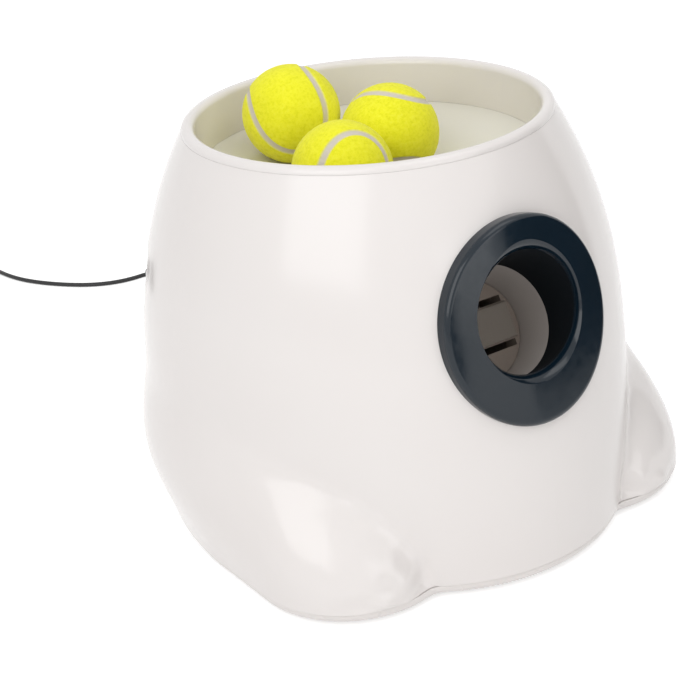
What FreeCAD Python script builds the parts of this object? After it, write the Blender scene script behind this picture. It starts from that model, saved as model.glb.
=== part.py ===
import FreeCAD, Part
import math
import os

# Automatic dog ball launcher, in millimetres.
# +Z is up, the balls leave towards -Y, and the origin is on the floor under the middle of the body.

V = FreeCAD.Vector
X_AXIS = V(1, 0, 0)
Y_AXIS = V(0, 1, 0)
Z_AXIS = V(0, 0, 1)

# ---------------------------------------------------------------- driving dimensions

ball_radius = 26.0            # small tennis ball over its felt
ball_gap = 0.3                # a resting ball's clearance from what it lies on

body_height = 214.2           # top of the rim
belly_radius = 129.0          # widest part of the round body
belly_height = 60.0
floor_radius = 122.5          # round body at the floor, behind the feet
rim_outer_radius = 95.8
rim_round = 3.6               # the rim's edge is a half round of this radius
shoulder_power = 2.6          # how late the body turns in towards the rim
lobe_depth = 15.5             # how far the front and back stand out at the floor
lobe_power = 1.9
foot_x = 76.7                 # middle of each front foot's rounded nose
foot_y = 68.6
foot_radius = 51.0
foot_height = 71.0            # top of the foot, where it runs into the body's side
foot_least_depth = 8.0
foot_ridge_angle = 75.0       # where the foot is highest, measured round from the front
foot_front_spread = 45.5      # and how far round from there it comes down in front and behind
foot_back_spread = 75.0
foot_side_end = 76.0          # the foot's straight side ends here and draws in behind
foot_draw_in = 24.0           # by so much for each radian
crease_blend = 6.0            # softness of the crease between foot and body
haunch_depth = 6.0            # swelling of the body's side above and behind the foot
haunch_angle = 103.0
haunch_spread = 52.0
haunch_bottom = 11.0
haunch_top = 88.0
shell_wall = 2.8

pad_height = 2.0              # rubber pads that the launcher stands on
pad_radius = 9.0
pan_top = 7.5                 # seam between the base pan and the shell
pan_floor = 2.6
pan_edge_inset = 4.0
rear_post_radius = 113.0      # circle of the two screws behind the feet
rear_post_angle = 130.0
front_post_reach = 1.24       # the front screws and pads, as multiples of the foot's middle
front_pad_reach = 1.02
seam_gap = 0.4
pan_lip_height = 6.0
pan_lip_wall = 2.0
pan_lip_gap = 0.3             # between the lip and the shell's inside
pan_wall = 6.0                # the pan's own wall, below its lip

skirt_top_radius = 88.6       # bowl wall just under the rim
skirt_radius = 87.4           # bowl wall at the seam with the funnel
skirt_bottom = 190.0
skirt_wall = 2.4
joint_gap = 0.1               # between pieces that are clamped face to face
funnel_wall = 2.2
funnel_hole_radius = 27.5
funnel_hole_y = -41.4
funnel_hole_z = 158.0
funnel_ear_radius = 97.0      # circle of the four funnel screws
funnel_ear_angle = 40.0
funnel_lug_radius = 5.0

launch_angle = 30.0           # elevation of the barrel
exit_y = -121.2               # middle of the exit lip
exit_z = 137.3
lip_radius = 30.0
lip_tilt = 12.0
bezel_half_width = 47.9       # the bezel is a little taller than it is wide
bezel_half_height = 51.3
bezel_z = 134.4
bezel_tilt = 11.7
bezel_curve = 222.0           # the bezel's face bends round the body with this radius
bezel_proud = 2.3
bezel_edge_round = 3.0
bezel_plug_radius = 46.0
bezel_plug_depth = 13.0
mouth_round = 6.6             # the mouth's edge is rounded from the lip out to the face
mouth_round_sweep = 75.0
mouth_wall = 2.2
mouth_end = 24.0              # along the barrel axis, from the exit lip
mouth_end_radius = 29.0

barrel_radius = 26.4
barrel_wall = 2.4
cone_end = 45.0               # the white cone narrows down to the barrel here
barrel_end = 112.0
collar_length = 7.0
tube_seat_gap = 0.5           # between the feed tube's foot and the barrel
housing_end = 178.0
ear_half_height = 5.0         # ears that the frame plates are screwed to
part_gap = 0.2

plunger_face = 46.0           # the plunger's front face when the spring has thrown it forward
plunger_clearance = 0.3
plunger_head = 10.0
plunger_skirt_wall = 1.8
plunger_skirt_half_angle = 62.0
slot_inner = 10.0             # the two slots across the plunger's face
slot_height = 3.4
slot_half_width = 21.0
pad_thickness = 1.6
pad_half_width = 22.5
pad_half_height = 9.4

sector_module = 1.0
sector_size = 28              # teeth on a full circle of the sector gear's size
stroke_teeth = 20
pressure_angle = 25.0
gear_backlash = 0.16
rack_pitch_v = -20.0
rack_top_v = -13.8
rack_width = 8.0
gear_gap_half = 6.5           # half width of the gap for the sector gear under the plunger's head
sector_s = 126.0              # where the sector gear meets the rack, along the barrel

train_module = 0.8
output_teeth = 40
small_teeth = 12
compound_teeth = 36
output_gear_x = 31.0
output_gear_width = 5.0
compound_gear_x = 24.0
compound_gear_width = 4.0
first_stage_angle = 200.0     # direction from the output gear to the compound gear
second_stage_angle = 160.0    # direction from the compound gear to the motor pinion

shaft_radius = 3.0
motor_shaft_radius = 2.0
bush_radius = 5.0
running_clearance = 0.05
frame_x = 40.0                # inner face of each mechanism frame plate
frame_thickness = 2.5
frame_boss_height = 4.0
frame_boss_radius = 4.5
frame_foot_width = 14.0
frame_front_y = -78.0
frame_back_y = 46.0
frame_front_height = 48.0
frame_back_height = 22.0
frame_screw_inset = 10.0
frame_window_ys = (-8.0, 26.0)

spring_seat_s = 146.0
spring_seat_thickness = 3.0
spring_radius = 9.5
spring_wire = 0.8
spring_turns = 11
spring_guide_radius = 6.5
spring_guide_length = 22.0

gearhead_radius = 13.85
gearhead_length = 19.0
motor_length = 26.0
motor_boss_radius = 4.8
motor_shaft_depth = 3.0
motor_screw_offset = 9.0

switch_y = -10.0              # middle of the cycle switch
switch_z = 54.0
switch_length = 20.0
switch_height = 10.0
switch_width = 6.0

cell_radius = 13.1            # LR14 cell
cell_length = 50.0
cells_in_row = 2
battery_y = 52.0              # front inner face of the battery box
battery_wall = 1.8
cell_nub_radius = 4.0
cell_nub_height = 1.5
contact_thickness = 0.6
door_tab_length = 4.0
door_inset = 3.0
door_ear_half_width = 6.0

panel_angle = 135.0           # control panel, measured from the front towards -X
panel_half_width = 44.0
panel_bottom = 116.0
panel_top = 152.0
panel_recess = 1.2
panel_thickness = 2.2
panel_clearance = 0.3
panel_button_radius = 6.5
button_travel = 1.5
push_switch_height = 5.0      # tip of a push switch, above the board
button_proud = 2.6
button_flange_depth = 6.2     # the flange that keeps a button in, behind the panel's face
button_flange_thickness = 1.3
button_flange_width = 1.6
board_distance = 104.0        # circuit board, from the middle of the body
board_thickness = 1.6
board_half_width = 40.0
board_post_radius = 3.0
power_button_x = -22.0
range_button_x = -3.0
lens_xs = (11.0, 19.0, 27.0)
lens_radius = 2.0

jack_z = 32.0
jack_hole_radius = 5.6
plug_radius = 4.6
plug_length = 12.0
plug_relief_length = 12.0
adapter_relief_length = 16.0
jack_pin_radius = 2.75
jack_pin_length = 9.0
cord_radius = 1.5
coil_middle_radius = 18.0
coil_half_width = 5.5
coil_height = 9.0
coil_x = -58.0
coil_y = 506.0
adapter_length = 62.0
adapter_width = 34.0
adapter_height = 28.0

screw_radius = 1.5
screw_head_radius = 2.8
screw_head_height = 1.8

ball_places = [(-17.5, 45.5), (18.7, 7.9), (-28.1, -15.7)]

# ---------------------------------------------------------------- values worked out from them

rim_z = body_height - rim_round
shell_top = rim_z - joint_gap         # the rim's ring stands on the shell's top edge
shell_bottom = pan_top + seam_gap
sector_radius = sector_module * sector_size / 2
stroke = stroke_teeth * math.pi * sector_module
sector_v = rack_pitch_v - sector_radius
plunger_radius = barrel_radius - plunger_clearance
barrel_outer = barrel_radius + barrel_wall

LAUNCH = FreeCAD.Placement(V(0, exit_y, exit_z), FreeCAD.Rotation(X_AXIS, -launch_angle))


# ---------------------------------------------------------------- small helpers

def write(name, *shapes):
    """One STEP file for one named piece, or for a group of like pieces."""
    solids = [solid for shape in shapes for solid in shape.Solids]
    for solid in solids:
        if not solid.isValid() or solid.Volume < 0.01:
            print("CHECK", name, "has a bad solid", solid.isValid(), round(solid.Volume, 3))
    shape = solids[0] if len(solids) == 1 else Part.makeCompound(solids)
    shape.exportStep("parts/" + name + ".step")
    print(name, len(solids), round(shape.Volume / 1000, 2), "cm3")


def box(x0, x1, y0, y1, z0, z1):
    return Part.makeBox(x1 - x0, y1 - y0, z1 - z0, V(x0, y0, z0))


def cylinder(radius, start, end):
    """A round bar from one point to another."""
    along = end.sub(start)
    return Part.makeCylinder(radius, along.Length, start, along)


def cone(radius_start, radius_end, start, end):
    along = end.sub(start)
    return Part.makeCone(radius_start, radius_end, along.Length, start, along)


def in_barrel(shape):
    """Move a shape drawn in barrel coordinates (x, along the barrel inwards, up from its axis) into place."""
    return shape.transformed(LAUNCH.toMatrix())


def barrel_point(s, v, x=0.0):
    return LAUNCH.multVec(V(x, s, v))


def on_side(shape, angle):
    """Turn a shape drawn at the front (-Y) round to another side, by an angle towards -X."""
    turned = shape.copy()
    turned.rotate(V(0, 0, 0), Z_AXIS, -angle)
    return turned


def x_bar(radius, centre, x0, x1):
    """A round bar along X through the (y, z) point."""
    return cylinder(radius, V(x0, centre[0], centre[1]), V(x1, centre[0], centre[1]))


def screw(head, direction, length):
    """Pan-head screw: `head` is the point under the head, and the thread runs along `direction`."""
    d = V(direction).normalize()
    shank = cylinder(screw_radius, head, head.add(d * length))
    top = cylinder(screw_head_radius, head.sub(d * screw_head_height), head)
    slot_depth = screw_head_height * 0.55
    recess = cylinder(1.1, head.sub(d * screw_head_height), head.sub(d * (screw_head_height - slot_depth)))
    return top.cut(recess).fuse(shank)


# ---------------------------------------------------------------- outer form of the body

def round_radius(z):
    """The round body's radius at a height: nearly straight low down, turning in towards the rim."""
    if z < belly_height:
        low = (belly_height - z) / belly_height
        return belly_radius - (belly_radius - floor_radius) * low ** 2
    high = (z - belly_height) / (rim_z - belly_height)
    return belly_radius - (belly_radius - rim_outer_radius) * min(high, 1.0) ** shoulder_power


def lobe(z, angle):
    """Extra reach at the front and back, fading out towards the rim and towards the feet."""
    c = math.cos(2 * angle)
    around = 0.5 * (c + math.sqrt(c * c + 0.02)) - 0.005
    return lobe_depth * max(0.0, 1 - z / rim_z) ** lobe_power * around


def foot_plan(turn):
    """Distance to the foot's outline at the floor; `turn` is the angle from the front, 0 to pi."""
    nose = math.hypot(foot_x, foot_y)
    side = foot_x + foot_radius
    end = math.radians(foot_side_end)
    if turn > end:
        return side / math.sin(end) - foot_draw_in * (turn - end)
    if turn > math.atan2(side, foot_y):
        return side / math.sin(turn)
    off = turn - math.atan2(foot_x, foot_y)
    across = nose * math.sin(off)
    return nose * math.cos(off) + math.sqrt(max(foot_radius ** 2 - across ** 2, 0.0))


def foot_top(turn, inset):
    """Height at which the foot meets the body: an arch over the foot's length."""
    ridge = math.radians(foot_ridge_angle)
    spread = math.radians(foot_front_spread if turn < ridge else foot_back_spread)
    arch = max(1 - ((turn - ridge) / spread) ** 2, 0.004)
    return (foot_height - inset) * arch ** 0.42


def haunch(z, turn):
    around = 1 - ((turn - math.radians(haunch_angle)) / math.radians(haunch_spread)) ** 2
    up = (z - haunch_bottom) / (haunch_top - haunch_bottom)
    if around <= 0 or up <= 0 or up >= 1:
        return 0.0
    return haunch_depth * around ** 1.5 * math.sin(math.pi * up) ** 1.2


def form_radius(z, angle, inset=0.0):
    """Outer form, or the same form moved in by `inset`; the angle is measured from the front."""
    turn = abs((angle + math.pi) % (2 * math.pi) - math.pi)
    body = round_radius(z) + lobe(z, angle)
    depth = foot_plan(turn) - round_radius(0.0) - lobe(0.0, angle)
    foot = depth - max(depth, foot_least_depth) * (z / foot_top(turn, inset)) ** 2.2
    if foot <= -crease_blend:
        foot = 0.0
    elif foot < crease_blend:
        mix = (foot + crease_blend) / (2 * crease_blend)
        foot = foot * mix + crease_blend * mix * (1 - mix)
    return body + foot + haunch(z, turn) - inset


def form_section(z, inset, level):
    """Closed smooth outline of the form taken at height z and drawn at height `level`."""
    count = 144
    points = []
    for i in range(count):
        angle = 2 * math.pi * i / count
        r = form_radius(z, angle, inset)
        points.append(V(-r * math.sin(angle), -r * math.cos(angle), level))
    curve = Part.BSplineCurve()
    curve.interpolate(Points=points, PeriodicFlag=True, Parameters=[i / count for i in range(count + 1)])
    return Part.Wire([curve.toShape()])


def form_solid(low, high, inset=0.0, steps=24):
    levels = [low + (high - low) * i / steps for i in range(steps + 1)]
    return Part.makeLoft([form_section(z, inset, z) for z in levels], True, False)


# ---------------------------------------------------------------- shell, pan and feet

def make_bowl_wall():
    """Ring glued on the shell's top edge: the half-round rim, and the bowl's upper wall below it."""
    outer = rim_outer_radius - 0.05
    middle = (outer + skirt_top_radius) / 2
    top = Part.Arc(V(outer, 0, rim_z), V(middle, 0, body_height), V(skirt_top_radius, 0, rim_z)).toShape()
    corners = [V(skirt_top_radius, 0, rim_z), V(skirt_radius, 0, skirt_bottom),
               V(skirt_radius + skirt_wall, 0, skirt_bottom), V(skirt_top_radius + skirt_wall, 0, rim_z),
               V(outer, 0, rim_z)]
    edges = [top] + [Part.LineSegment(a, b).toShape() for a, b in zip(corners, corners[1:])]
    return Part.Face(Part.Wire(edges)).revolve(V(0, 0, 0), Z_AXIS, 360)


def foot_screw_points():
    """The four screws that hold the pan to the shell: one in each foot and two behind."""
    a = math.radians(rear_post_angle)
    behind = V(rear_post_radius * math.sin(a), -rear_post_radius * math.cos(a), 0)
    front = V(foot_x * front_post_reach, -foot_y * front_post_reach, 0)
    return [V(side * p.x, p.y, 0) for side in (-1, 1) for p in (front, behind)]


def funnel_screw_points():
    angles = [funnel_ear_angle, 180 - funnel_ear_angle, 180 + funnel_ear_angle, 360 - funnel_ear_angle]
    return [V(funnel_ear_radius * math.cos(math.radians(a)), funnel_ear_radius * math.sin(math.radians(a)), 0)
            for a in angles]


def panel_window(clearance, depth_from, depth_to):
    """Block with rounded corners that the control panel's opening is cut with."""
    half = panel_half_width - clearance
    block = box(-half, half, -depth_to, -depth_from, panel_bottom + clearance, panel_top - clearance)
    corner = [e for e in block.Edges if abs(e.tangentAt(e.FirstParameter).y) > 0.9]
    return on_side(block.makeFillet(9.0 - clearance, corner), panel_angle)


def bezel_axis():
    t = math.radians(bezel_tilt)
    return V(0, -math.cos(t), math.sin(t))


def bezel_centre():
    """Point on the bezel's axis where it crosses the body's surface."""
    return V(0, -form_radius(bezel_z, 0.0), bezel_z)


def make_shell(outer):
    inner = form_solid(shell_bottom - 1, rim_z - shell_wall, shell_wall)
    ring_hole = skirt_top_radius + skirt_wall + part_gap
    shell = outer.cut(inner).cut(cylinder(ring_hole, V(0, 0, skirt_bottom), V(0, 0, body_height)))
    for p in foot_screw_points():
        post = cylinder(4.6, p.add(V(0, 0, shell_bottom)), p.add(V(0, 0, foot_height)))
        web = box(-1.2, 1.2, -p.Length - 40, -p.Length, pan_top + pan_lip_height + 0.6, foot_height)
        web = on_side(web, math.degrees(math.atan2(-p.x, -p.y)))
        shell = shell.fuse(post.fuse(web).common(outer))
        shell = shell.cut(cylinder(screw_radius, p, p.add(V(0, 0, 22.0))))
    for p in funnel_screw_points():
        post = cylinder(3.6, p.add(V(0, 0, skirt_bottom)), p.add(V(0, 0, rim_z - shell_wall / 2)))
        shell = shell.fuse(post.common(outer))
        pilot = cylinder(screw_radius, p.add(V(0, 0, skirt_bottom)), p.add(V(0, 0, skirt_bottom + 12)))
        shell = shell.cut(pilot)
    opening = cylinder(bezel_plug_radius + part_gap, bezel_centre().sub(bezel_axis() * 30),
                       bezel_centre().add(bezel_axis() * 30))
    shell = shell.cut(opening)
    shell = shell.cut(panel_window(0.0, panel_seat_radius(), belly_radius + 20))
    jack = cylinder(jack_hole_radius, V(0, belly_radius - 20, jack_z), V(0, belly_radius + 30, jack_z))
    return shell.cut(jack)


def shell_lining(inset):
    """The form from the shell's lower edge to the top of the pan's lip, moved in by `inset`."""
    whole = form_solid(shell_bottom - 1, rim_z - shell_wall, inset)
    reach = belly_radius * 2
    return whole.common(box(-reach, reach, -reach, reach, 0, pan_top + pan_lip_height))


def make_pan():
    """Shallow base pan, with a rounded lower edge and a lip that locates it inside the shell."""
    levels = [(pad_height, pan_edge_inset), (pad_height + 0.8, pan_edge_inset * 0.45),
              (pad_height + 2.4, pan_edge_inset * 0.12), (pan_top, 0.25)]
    wires = [form_section(0.0, inset, z) for z, inset in levels]
    pan = Part.makeLoft(wires, True, False)
    hollow = form_solid(pan_floor + pad_height, pan_top + 1, pan_wall, 2)
    lip = shell_lining(shell_wall + pan_lip_gap).cut(shell_lining(shell_wall + pan_lip_gap + pan_lip_wall))
    pan = pan.cut(hollow).fuse(lip)
    for p in foot_screw_points():
        boss = cylinder(5.6, p.add(V(0, 0, pad_height)), p.add(V(0, 0, shell_bottom - part_gap)))
        pan = pan.cut(cylinder(6.4, p.add(V(0, 0, shell_bottom - part_gap)), p.add(V(0, 0, pan_top + 20))))
        pan = pan.fuse(boss)
        pan = pan.cut(cylinder(screw_radius + 0.2, p, p.add(V(0, 0, 20))))
        pan = pan.cut(cylinder(screw_head_radius + 0.4, p, p.add(V(0, 0, pad_height + 2.4))))
    for p in frame_screw_points():
        low = p.add(V(0, 0, pad_height + 1))
        boss = cylinder(frame_boss_radius, low, p.add(V(0, 0, frame_floor() - joint_gap)))
        pan = pan.fuse(boss).cut(cylinder(screw_radius, low, p.add(V(0, 0, 20))))
    return pan.cut(battery_door_block(0.0))


def battery_bounds():
    """Inside of the battery box: two cells long, two cells deep, one cell high."""
    half = cell_length * cells_in_row / 2 + 4.0
    depth = cell_radius * 4 + 2.0
    floor = pad_height + pan_floor
    return half, battery_y, battery_y + depth, floor, floor + cell_radius * 2 + 1.2


def door_screw_point():
    return V(0, battery_y - battery_wall - 4.5, 0)


def battery_door_block(clearance):
    """Space that the door takes in the pan's floor: a plate with an ear in front for its screw."""
    half, y0, y1, z0, _ = battery_bounds()
    inset = door_inset + clearance
    low = pad_height - 0.001 if clearance else 0.0
    plate = box(-half + inset, half - inset, y0 + inset, y1 - inset, low, z0 + 0.001)
    ear = box(-door_ear_half_width + clearance, door_ear_half_width - clearance,
              door_screw_point().y - 5.5 + clearance, y0 + inset + 1, low, z0 + 0.001)
    return plate.fuse(ear)


def pad_points():
    """Middles of the rubber pads: one under each foot and two behind, inside of the screws."""
    a = math.radians(rear_post_angle)
    radius = rear_post_radius - 17.0
    behind = V(radius * math.sin(a), -radius * math.cos(a), 0)
    front = V(foot_x * front_pad_reach, -foot_y * front_pad_reach, 0)
    return [V(side * p.x, p.y, 0) for side in (-1, 1) for p in (front, behind)]


def panel_seat_radius():
    """The control panel's opening is cut from here outwards."""
    return round_radius(panel_top) - 18.0


# ---------------------------------------------------------------- bowl, funnel and feed tube

def make_funnel():
    def plate(radius, x, y, z):
        return Part.Wire([Part.makeCircle(radius, V(x, y, z), Z_AXIS)])

    top = skirt_bottom - joint_gap
    mouth = skirt_radius - part_gap
    low = plate(funnel_hole_radius + funnel_wall, 0, funnel_hole_y, funnel_hole_z - funnel_wall)
    outer = Part.makeLoft([low, plate(mouth + funnel_wall, 0, 0, top - funnel_wall)], True, True)
    outer = outer.fuse(cylinder(mouth + funnel_wall, V(0, 0, top - funnel_wall), V(0, 0, top)))
    inner = Part.makeLoft([plate(funnel_hole_radius, 0, funnel_hole_y, funnel_hole_z),
                           plate(mouth, 0, 0, top)], True, True)
    for p in funnel_screw_points():
        for share in (1.0, 0.9):
            middle = V(p.x * share, p.y * share, top)
            outer = outer.fuse(cylinder(funnel_lug_radius, middle.sub(V(0, 0, funnel_wall)), middle))
    hole = cylinder(funnel_hole_radius, V(0, funnel_hole_y, 0), V(0, funnel_hole_y, funnel_hole_z + 0.01))
    funnel = outer.cut(inner).cut(hole)
    for p in funnel_screw_points():
        funnel = funnel.cut(cylinder(screw_radius + 0.2, p, p.add(V(0, 0, top + 1))))
    return funnel


def make_feed_tube():
    """Upright tube between the funnel's hole and the port in the barrel's top."""
    top = funnel_hole_z - funnel_wall - 0.1
    outer_radius = funnel_hole_radius + funnel_wall
    foot = V(0, funnel_hole_y, exit_z - 60)
    tube = cylinder(outer_radius, foot, V(0, funnel_hole_y, top))
    tube = tube.cut(cylinder(funnel_hole_radius, foot, V(0, funnel_hole_y, top)))
    seat = in_barrel(cylinder(barrel_outer + tube_seat_gap, V(0, -40, 0), V(0, housing_end + 60, 0)))
    low = in_barrel(box(-60, 60, -60, housing_end + 60, -80, ear_half_height + part_gap))
    tube = tube.cut(seat).cut(low)
    for side in (-1, 1):
        eye = cylinder(2.65, V(side * (outer_radius - 8), funnel_hole_y, top - 12),
                       V(side * (outer_radius + 8), funnel_hole_y, top - 12))
        tube = tube.cut(eye)
    return tube


def make_ball_sensors():
    """Infrared lamp and eye that look across the feed tube."""
    outer_radius = funnel_hole_radius + funnel_wall
    z = funnel_hole_z - funnel_wall - 0.1 - 12
    parts = []
    for side in (-1, 1):
        barrel = cylinder(2.5, V(side * (outer_radius - 1.6), funnel_hole_y, z),
                          V(side * (outer_radius + 6), funnel_hole_y, z))
        flange = cylinder(3.4, V(side * (outer_radius + 0.3), funnel_hole_y, z),
                          V(side * (outer_radius + 1.6), funnel_hole_y, z))
        parts.append(barrel.fuse(flange))
    return parts


# ---------------------------------------------------------------- bezel and barrel

def ring_wire(centre, normal, radius):
    return Part.Wire([Part.makeCircle(radius, centre, normal)])


def lip_axis():
    t = math.radians(lip_tilt)
    return V(0, -math.cos(t), math.sin(t))


def mouth_loft(extra):
    """Round passage from the tilted exit lip to the start of the white cone."""
    a = math.radians(launch_angle)
    barrel_normal = V(0, -math.cos(a), math.sin(a))
    return Part.makeLoft([ring_wire(V(0, exit_y, exit_z), lip_axis(), lip_radius + extra),
                          ring_wire(barrel_point(mouth_end, 0), barrel_normal, mouth_end_radius + extra)],
                         True, True)


def make_bezel_blank():
    """Oval plate whose face bends gently round the body, about an upright axis leaning with the bezel."""
    axis = bezel_axis()
    upright = V(0, axis.z, -axis.y)
    front = bezel_centre().add(axis * bezel_proud)
    rear = bezel_centre().sub(axis * bezel_half_width / 2)
    oval = Part.Ellipse(rear.add(upright * bezel_half_height), rear.add(X_AXIS * bezel_half_width), rear)
    block = Part.Face(Part.Wire([oval.toShape()])).extrude(axis * bezel_half_width)
    middle = front.sub(axis * bezel_curve)
    reach = upright * bezel_half_height * 2
    blank = block.common(cylinder(bezel_curve, middle.sub(reach), middle.add(reach)))
    rim_edges = [e for e in blank.Edges
                 if e.Length > bezel_half_width
                 and abs(e.CenterOfMass.sub(front).dot(axis)) < bezel_plug_depth]
    return blank.makeFillet(bezel_edge_round, rim_edges)


def make_mouth_rounding():
    """Cutter that rounds the mouth's edge, drawn upright and then laid along the lip's axis."""
    sweep = math.radians(mouth_round_sweep)

    def on_arc(a):
        return V(lip_radius + mouth_round * (1 - math.cos(a)), 0, mouth_round * math.sin(a))

    beyond = on_arc(sweep).add(V(math.sin(sweep), 0, math.cos(sweep)) * lip_radius)
    corners = [on_arc(sweep), beyond, V(0, 0, beyond.z), V(0, 0, 0), on_arc(0)]
    edges = [Part.LineSegment(a, b).toShape() for a, b in zip(corners, corners[1:])]
    edges.append(Part.Arc(on_arc(0), on_arc(sweep / 2), on_arc(sweep)).toShape())
    cutter = Part.Face(Part.Wire(edges)).revolve(V(0, 0, 0), Z_AXIS, 360)
    place = FreeCAD.Placement(V(0, exit_y, exit_z), FreeCAD.Rotation(X_AXIS, 90 - lip_tilt))
    return cutter.transformed(place.toMatrix())


def make_bezel(outer):
    axis = bezel_axis()
    centre = bezel_centre()
    blank = make_bezel_blank()
    flange = blank.cut(outer)
    core = cylinder(bezel_plug_radius, centre.sub(axis * bezel_plug_depth), centre.add(axis * 30))
    plug = blank.common(core)
    bezel = plug.fuse(flange)
    # hollow behind the face, so that the plug is a collar and the face a plate
    back = cylinder(bezel_plug_radius - mouth_wall, centre.sub(axis * (bezel_plug_depth + 1)),
                    centre.sub(axis * 4.0))
    bezel = bezel.cut(back)
    bezel = bezel.fuse(mouth_loft(mouth_wall)).cut(mouth_loft(0.0))
    return bezel.cut(make_mouth_rounding())


def make_barrel():
    """White barrel: a cone that narrows from the mouth, then a straight bore with a port in its top."""
    start = mouth_end + part_gap
    outer = cone(mouth_end_radius + mouth_wall, barrel_outer, V(0, start, 0), V(0, cone_end, 0))
    outer = outer.fuse(cylinder(barrel_outer, V(0, cone_end, 0), V(0, barrel_end, 0)))
    collar_inner = mouth_end_radius + mouth_wall + part_gap + 0.2
    collar = cylinder(collar_inner + 2.0, V(0, mouth_end - collar_length, 0), V(0, mouth_end + 3, 0))
    collar = collar.cut(cylinder(collar_inner, V(0, mouth_end - collar_length, 0), V(0, start, 0)))
    outer = outer.fuse(collar)
    for side in (-1, 1):
        for s in (cone_end + 14, barrel_end - 11):
            outer = outer.fuse(make_ear(side, s))
    bore = cone(mouth_end_radius, barrel_radius, V(0, start, 0), V(0, cone_end, 0))
    bore = bore.fuse(cylinder(barrel_radius, V(0, cone_end, 0), V(0, barrel_end, 0)))
    outer = outer.cut(bore)
    for s in (cone_end + 18, barrel_end - 7):
        outer = outer.cut(ear_pilots(s))
    barrel = in_barrel(outer)
    port = cylinder(funnel_hole_radius, V(0, funnel_hole_y, 60), V(0, funnel_hole_y, 200))
    keep = in_barrel(box(-60, 60, 0, barrel_end - 3, 0, 80))
    return barrel.cut(port.common(keep))


def frame_ear():
    return frame_x - part_gap / 2


def make_ear(side, s):
    """Block on the barrel's side that a frame plate is screwed to."""
    low, high = sorted((side * 20, side * frame_ear()))
    return box(low, high, s, s + 8, -ear_half_height, ear_half_height)


def make_housing():
    """Tube that the plunger runs back into, slotted below for the rack and its gear."""
    start = barrel_end + part_gap
    outer = cylinder(barrel_outer, V(0, start, 0), V(0, housing_end, 0))
    for side in (-1, 1):
        for s in (start + 3, housing_end - 12):
            outer = outer.fuse(make_ear(side, s))
    housing = outer.cut(cylinder(barrel_radius, V(0, start, 0), V(0, housing_end, 0)))
    slot = box(-7.5, 7.5, start - 1, housing_end + 1, -40, -10)
    housing = housing.cut(slot)
    for s in (start + 7, housing_end - 8):
        housing = housing.cut(ear_pilots(s))
    return in_barrel(housing)


def ear_pilots(s):
    """Pilot holes for the screws that come through the frame plates."""
    pilots = [cylinder(screw_radius, V(side * (frame_ear() - 8), s, 0), V(side * (frame_ear() + 1), s, 0))
              for side in (-1, 1)]
    return pilots[0].fuse(pilots[1])


def make_spring_seat():
    """Wall across the housing that the spring pushes against, with a post inside the spring."""
    s0 = spring_seat_s
    s1 = spring_seat_s + spring_seat_thickness
    disc = cylinder(barrel_radius - plunger_clearance - plunger_skirt_wall - 0.6, V(0, s0, 0), V(0, s1, 0))
    wide = cylinder(barrel_radius - 0.05, V(0, s0, 0), V(0, s1, 0))
    seat = disc.fuse(wide.common(box(-40, 40, s0, s1, -40, 4)))
    seat = seat.cut(box(-7.5, 7.5, s0 - 1, s1 + 1, -40, rack_top_v + 1.0))
    post = cylinder(spring_guide_radius, V(0, s0 - spring_guide_length, 0), V(0, s0, 0))
    return in_barrel(seat.fuse(post))


# ---------------------------------------------------------------- plunger and its drive

def tooth_half_angle(radius, module, teeth):
    """Half the tooth's width at a radius, as an angle, for an involute tooth."""
    pitch = module * teeth / 2
    base = pitch * math.cos(math.radians(pressure_angle))
    start = math.radians(pressure_angle)
    at_pitch = (math.pi * module / 2 - gear_backlash) / 2 / pitch
    if radius <= base:
        return at_pitch + math.tan(start) - start
    here = math.acos(base / radius)
    return at_pitch + (math.tan(start) - start) - (math.tan(here) - here)


def gear(centre, x0, width, module, teeth, phase, bore, present=None):
    """Spur gear about an axis along X. `phase` is the angle of tooth 0, from +Y towards +Z."""
    pitch = module * teeth / 2
    root = pitch - 1.1 * module
    tip = pitch + 0.8 * module
    base = pitch * math.cos(math.radians(pressure_angle))
    low = max(root, base)
    radii = [low + (tip - low) * k / 3 for k in range(4)]
    points = []
    for tooth in range(teeth):
        middle = phase + 2 * math.pi * tooth / teeth
        if present is not None and tooth not in present:
            points.append((root, middle - math.pi / teeth * 0.5))
            points.append((root, middle + math.pi / teeth * 0.5))
            continue
        foot = tooth_half_angle(root, module, teeth)
        points.append((root, middle - foot))
        points += [(r, middle - tooth_half_angle(r, module, teeth)) for r in radii]
        points += [(r, middle + tooth_half_angle(r, module, teeth)) for r in reversed(radii)]
        points.append((root, middle + foot))
    corners = []
    for r, a in points:
        corner = V(x0, centre[0] + r * math.cos(a), centre[1] + r * math.sin(a))
        if not corners or corner.sub(corners[-1]).Length > 0.01:
            corners.append(corner)
    face = Part.Face(Part.makePolygon(corners + [corners[0]]))
    blank = face.extrude(V(width, 0, 0))
    return blank.cut(x_bar(bore, centre, x0 - 1, x0 + width + 1))


def meshing_phase(phase_a, teeth_a, teeth_b, direction, module):
    """Angle of tooth 0 of gear B, so that B meshes with gear A; `direction` points from A to B."""
    radius_a = module * teeth_a / 2
    radius_b = module * teeth_b / 2
    along = radius_a * (phase_a - direction) - math.pi * module / 2
    return direction + math.pi - along / radius_b


def yz(point):
    return (point.y, point.z)


def towards(centre, angle, distance):
    a = math.radians(angle)
    return (centre[0] + distance * math.cos(a), centre[1] + distance * math.sin(a))


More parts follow.
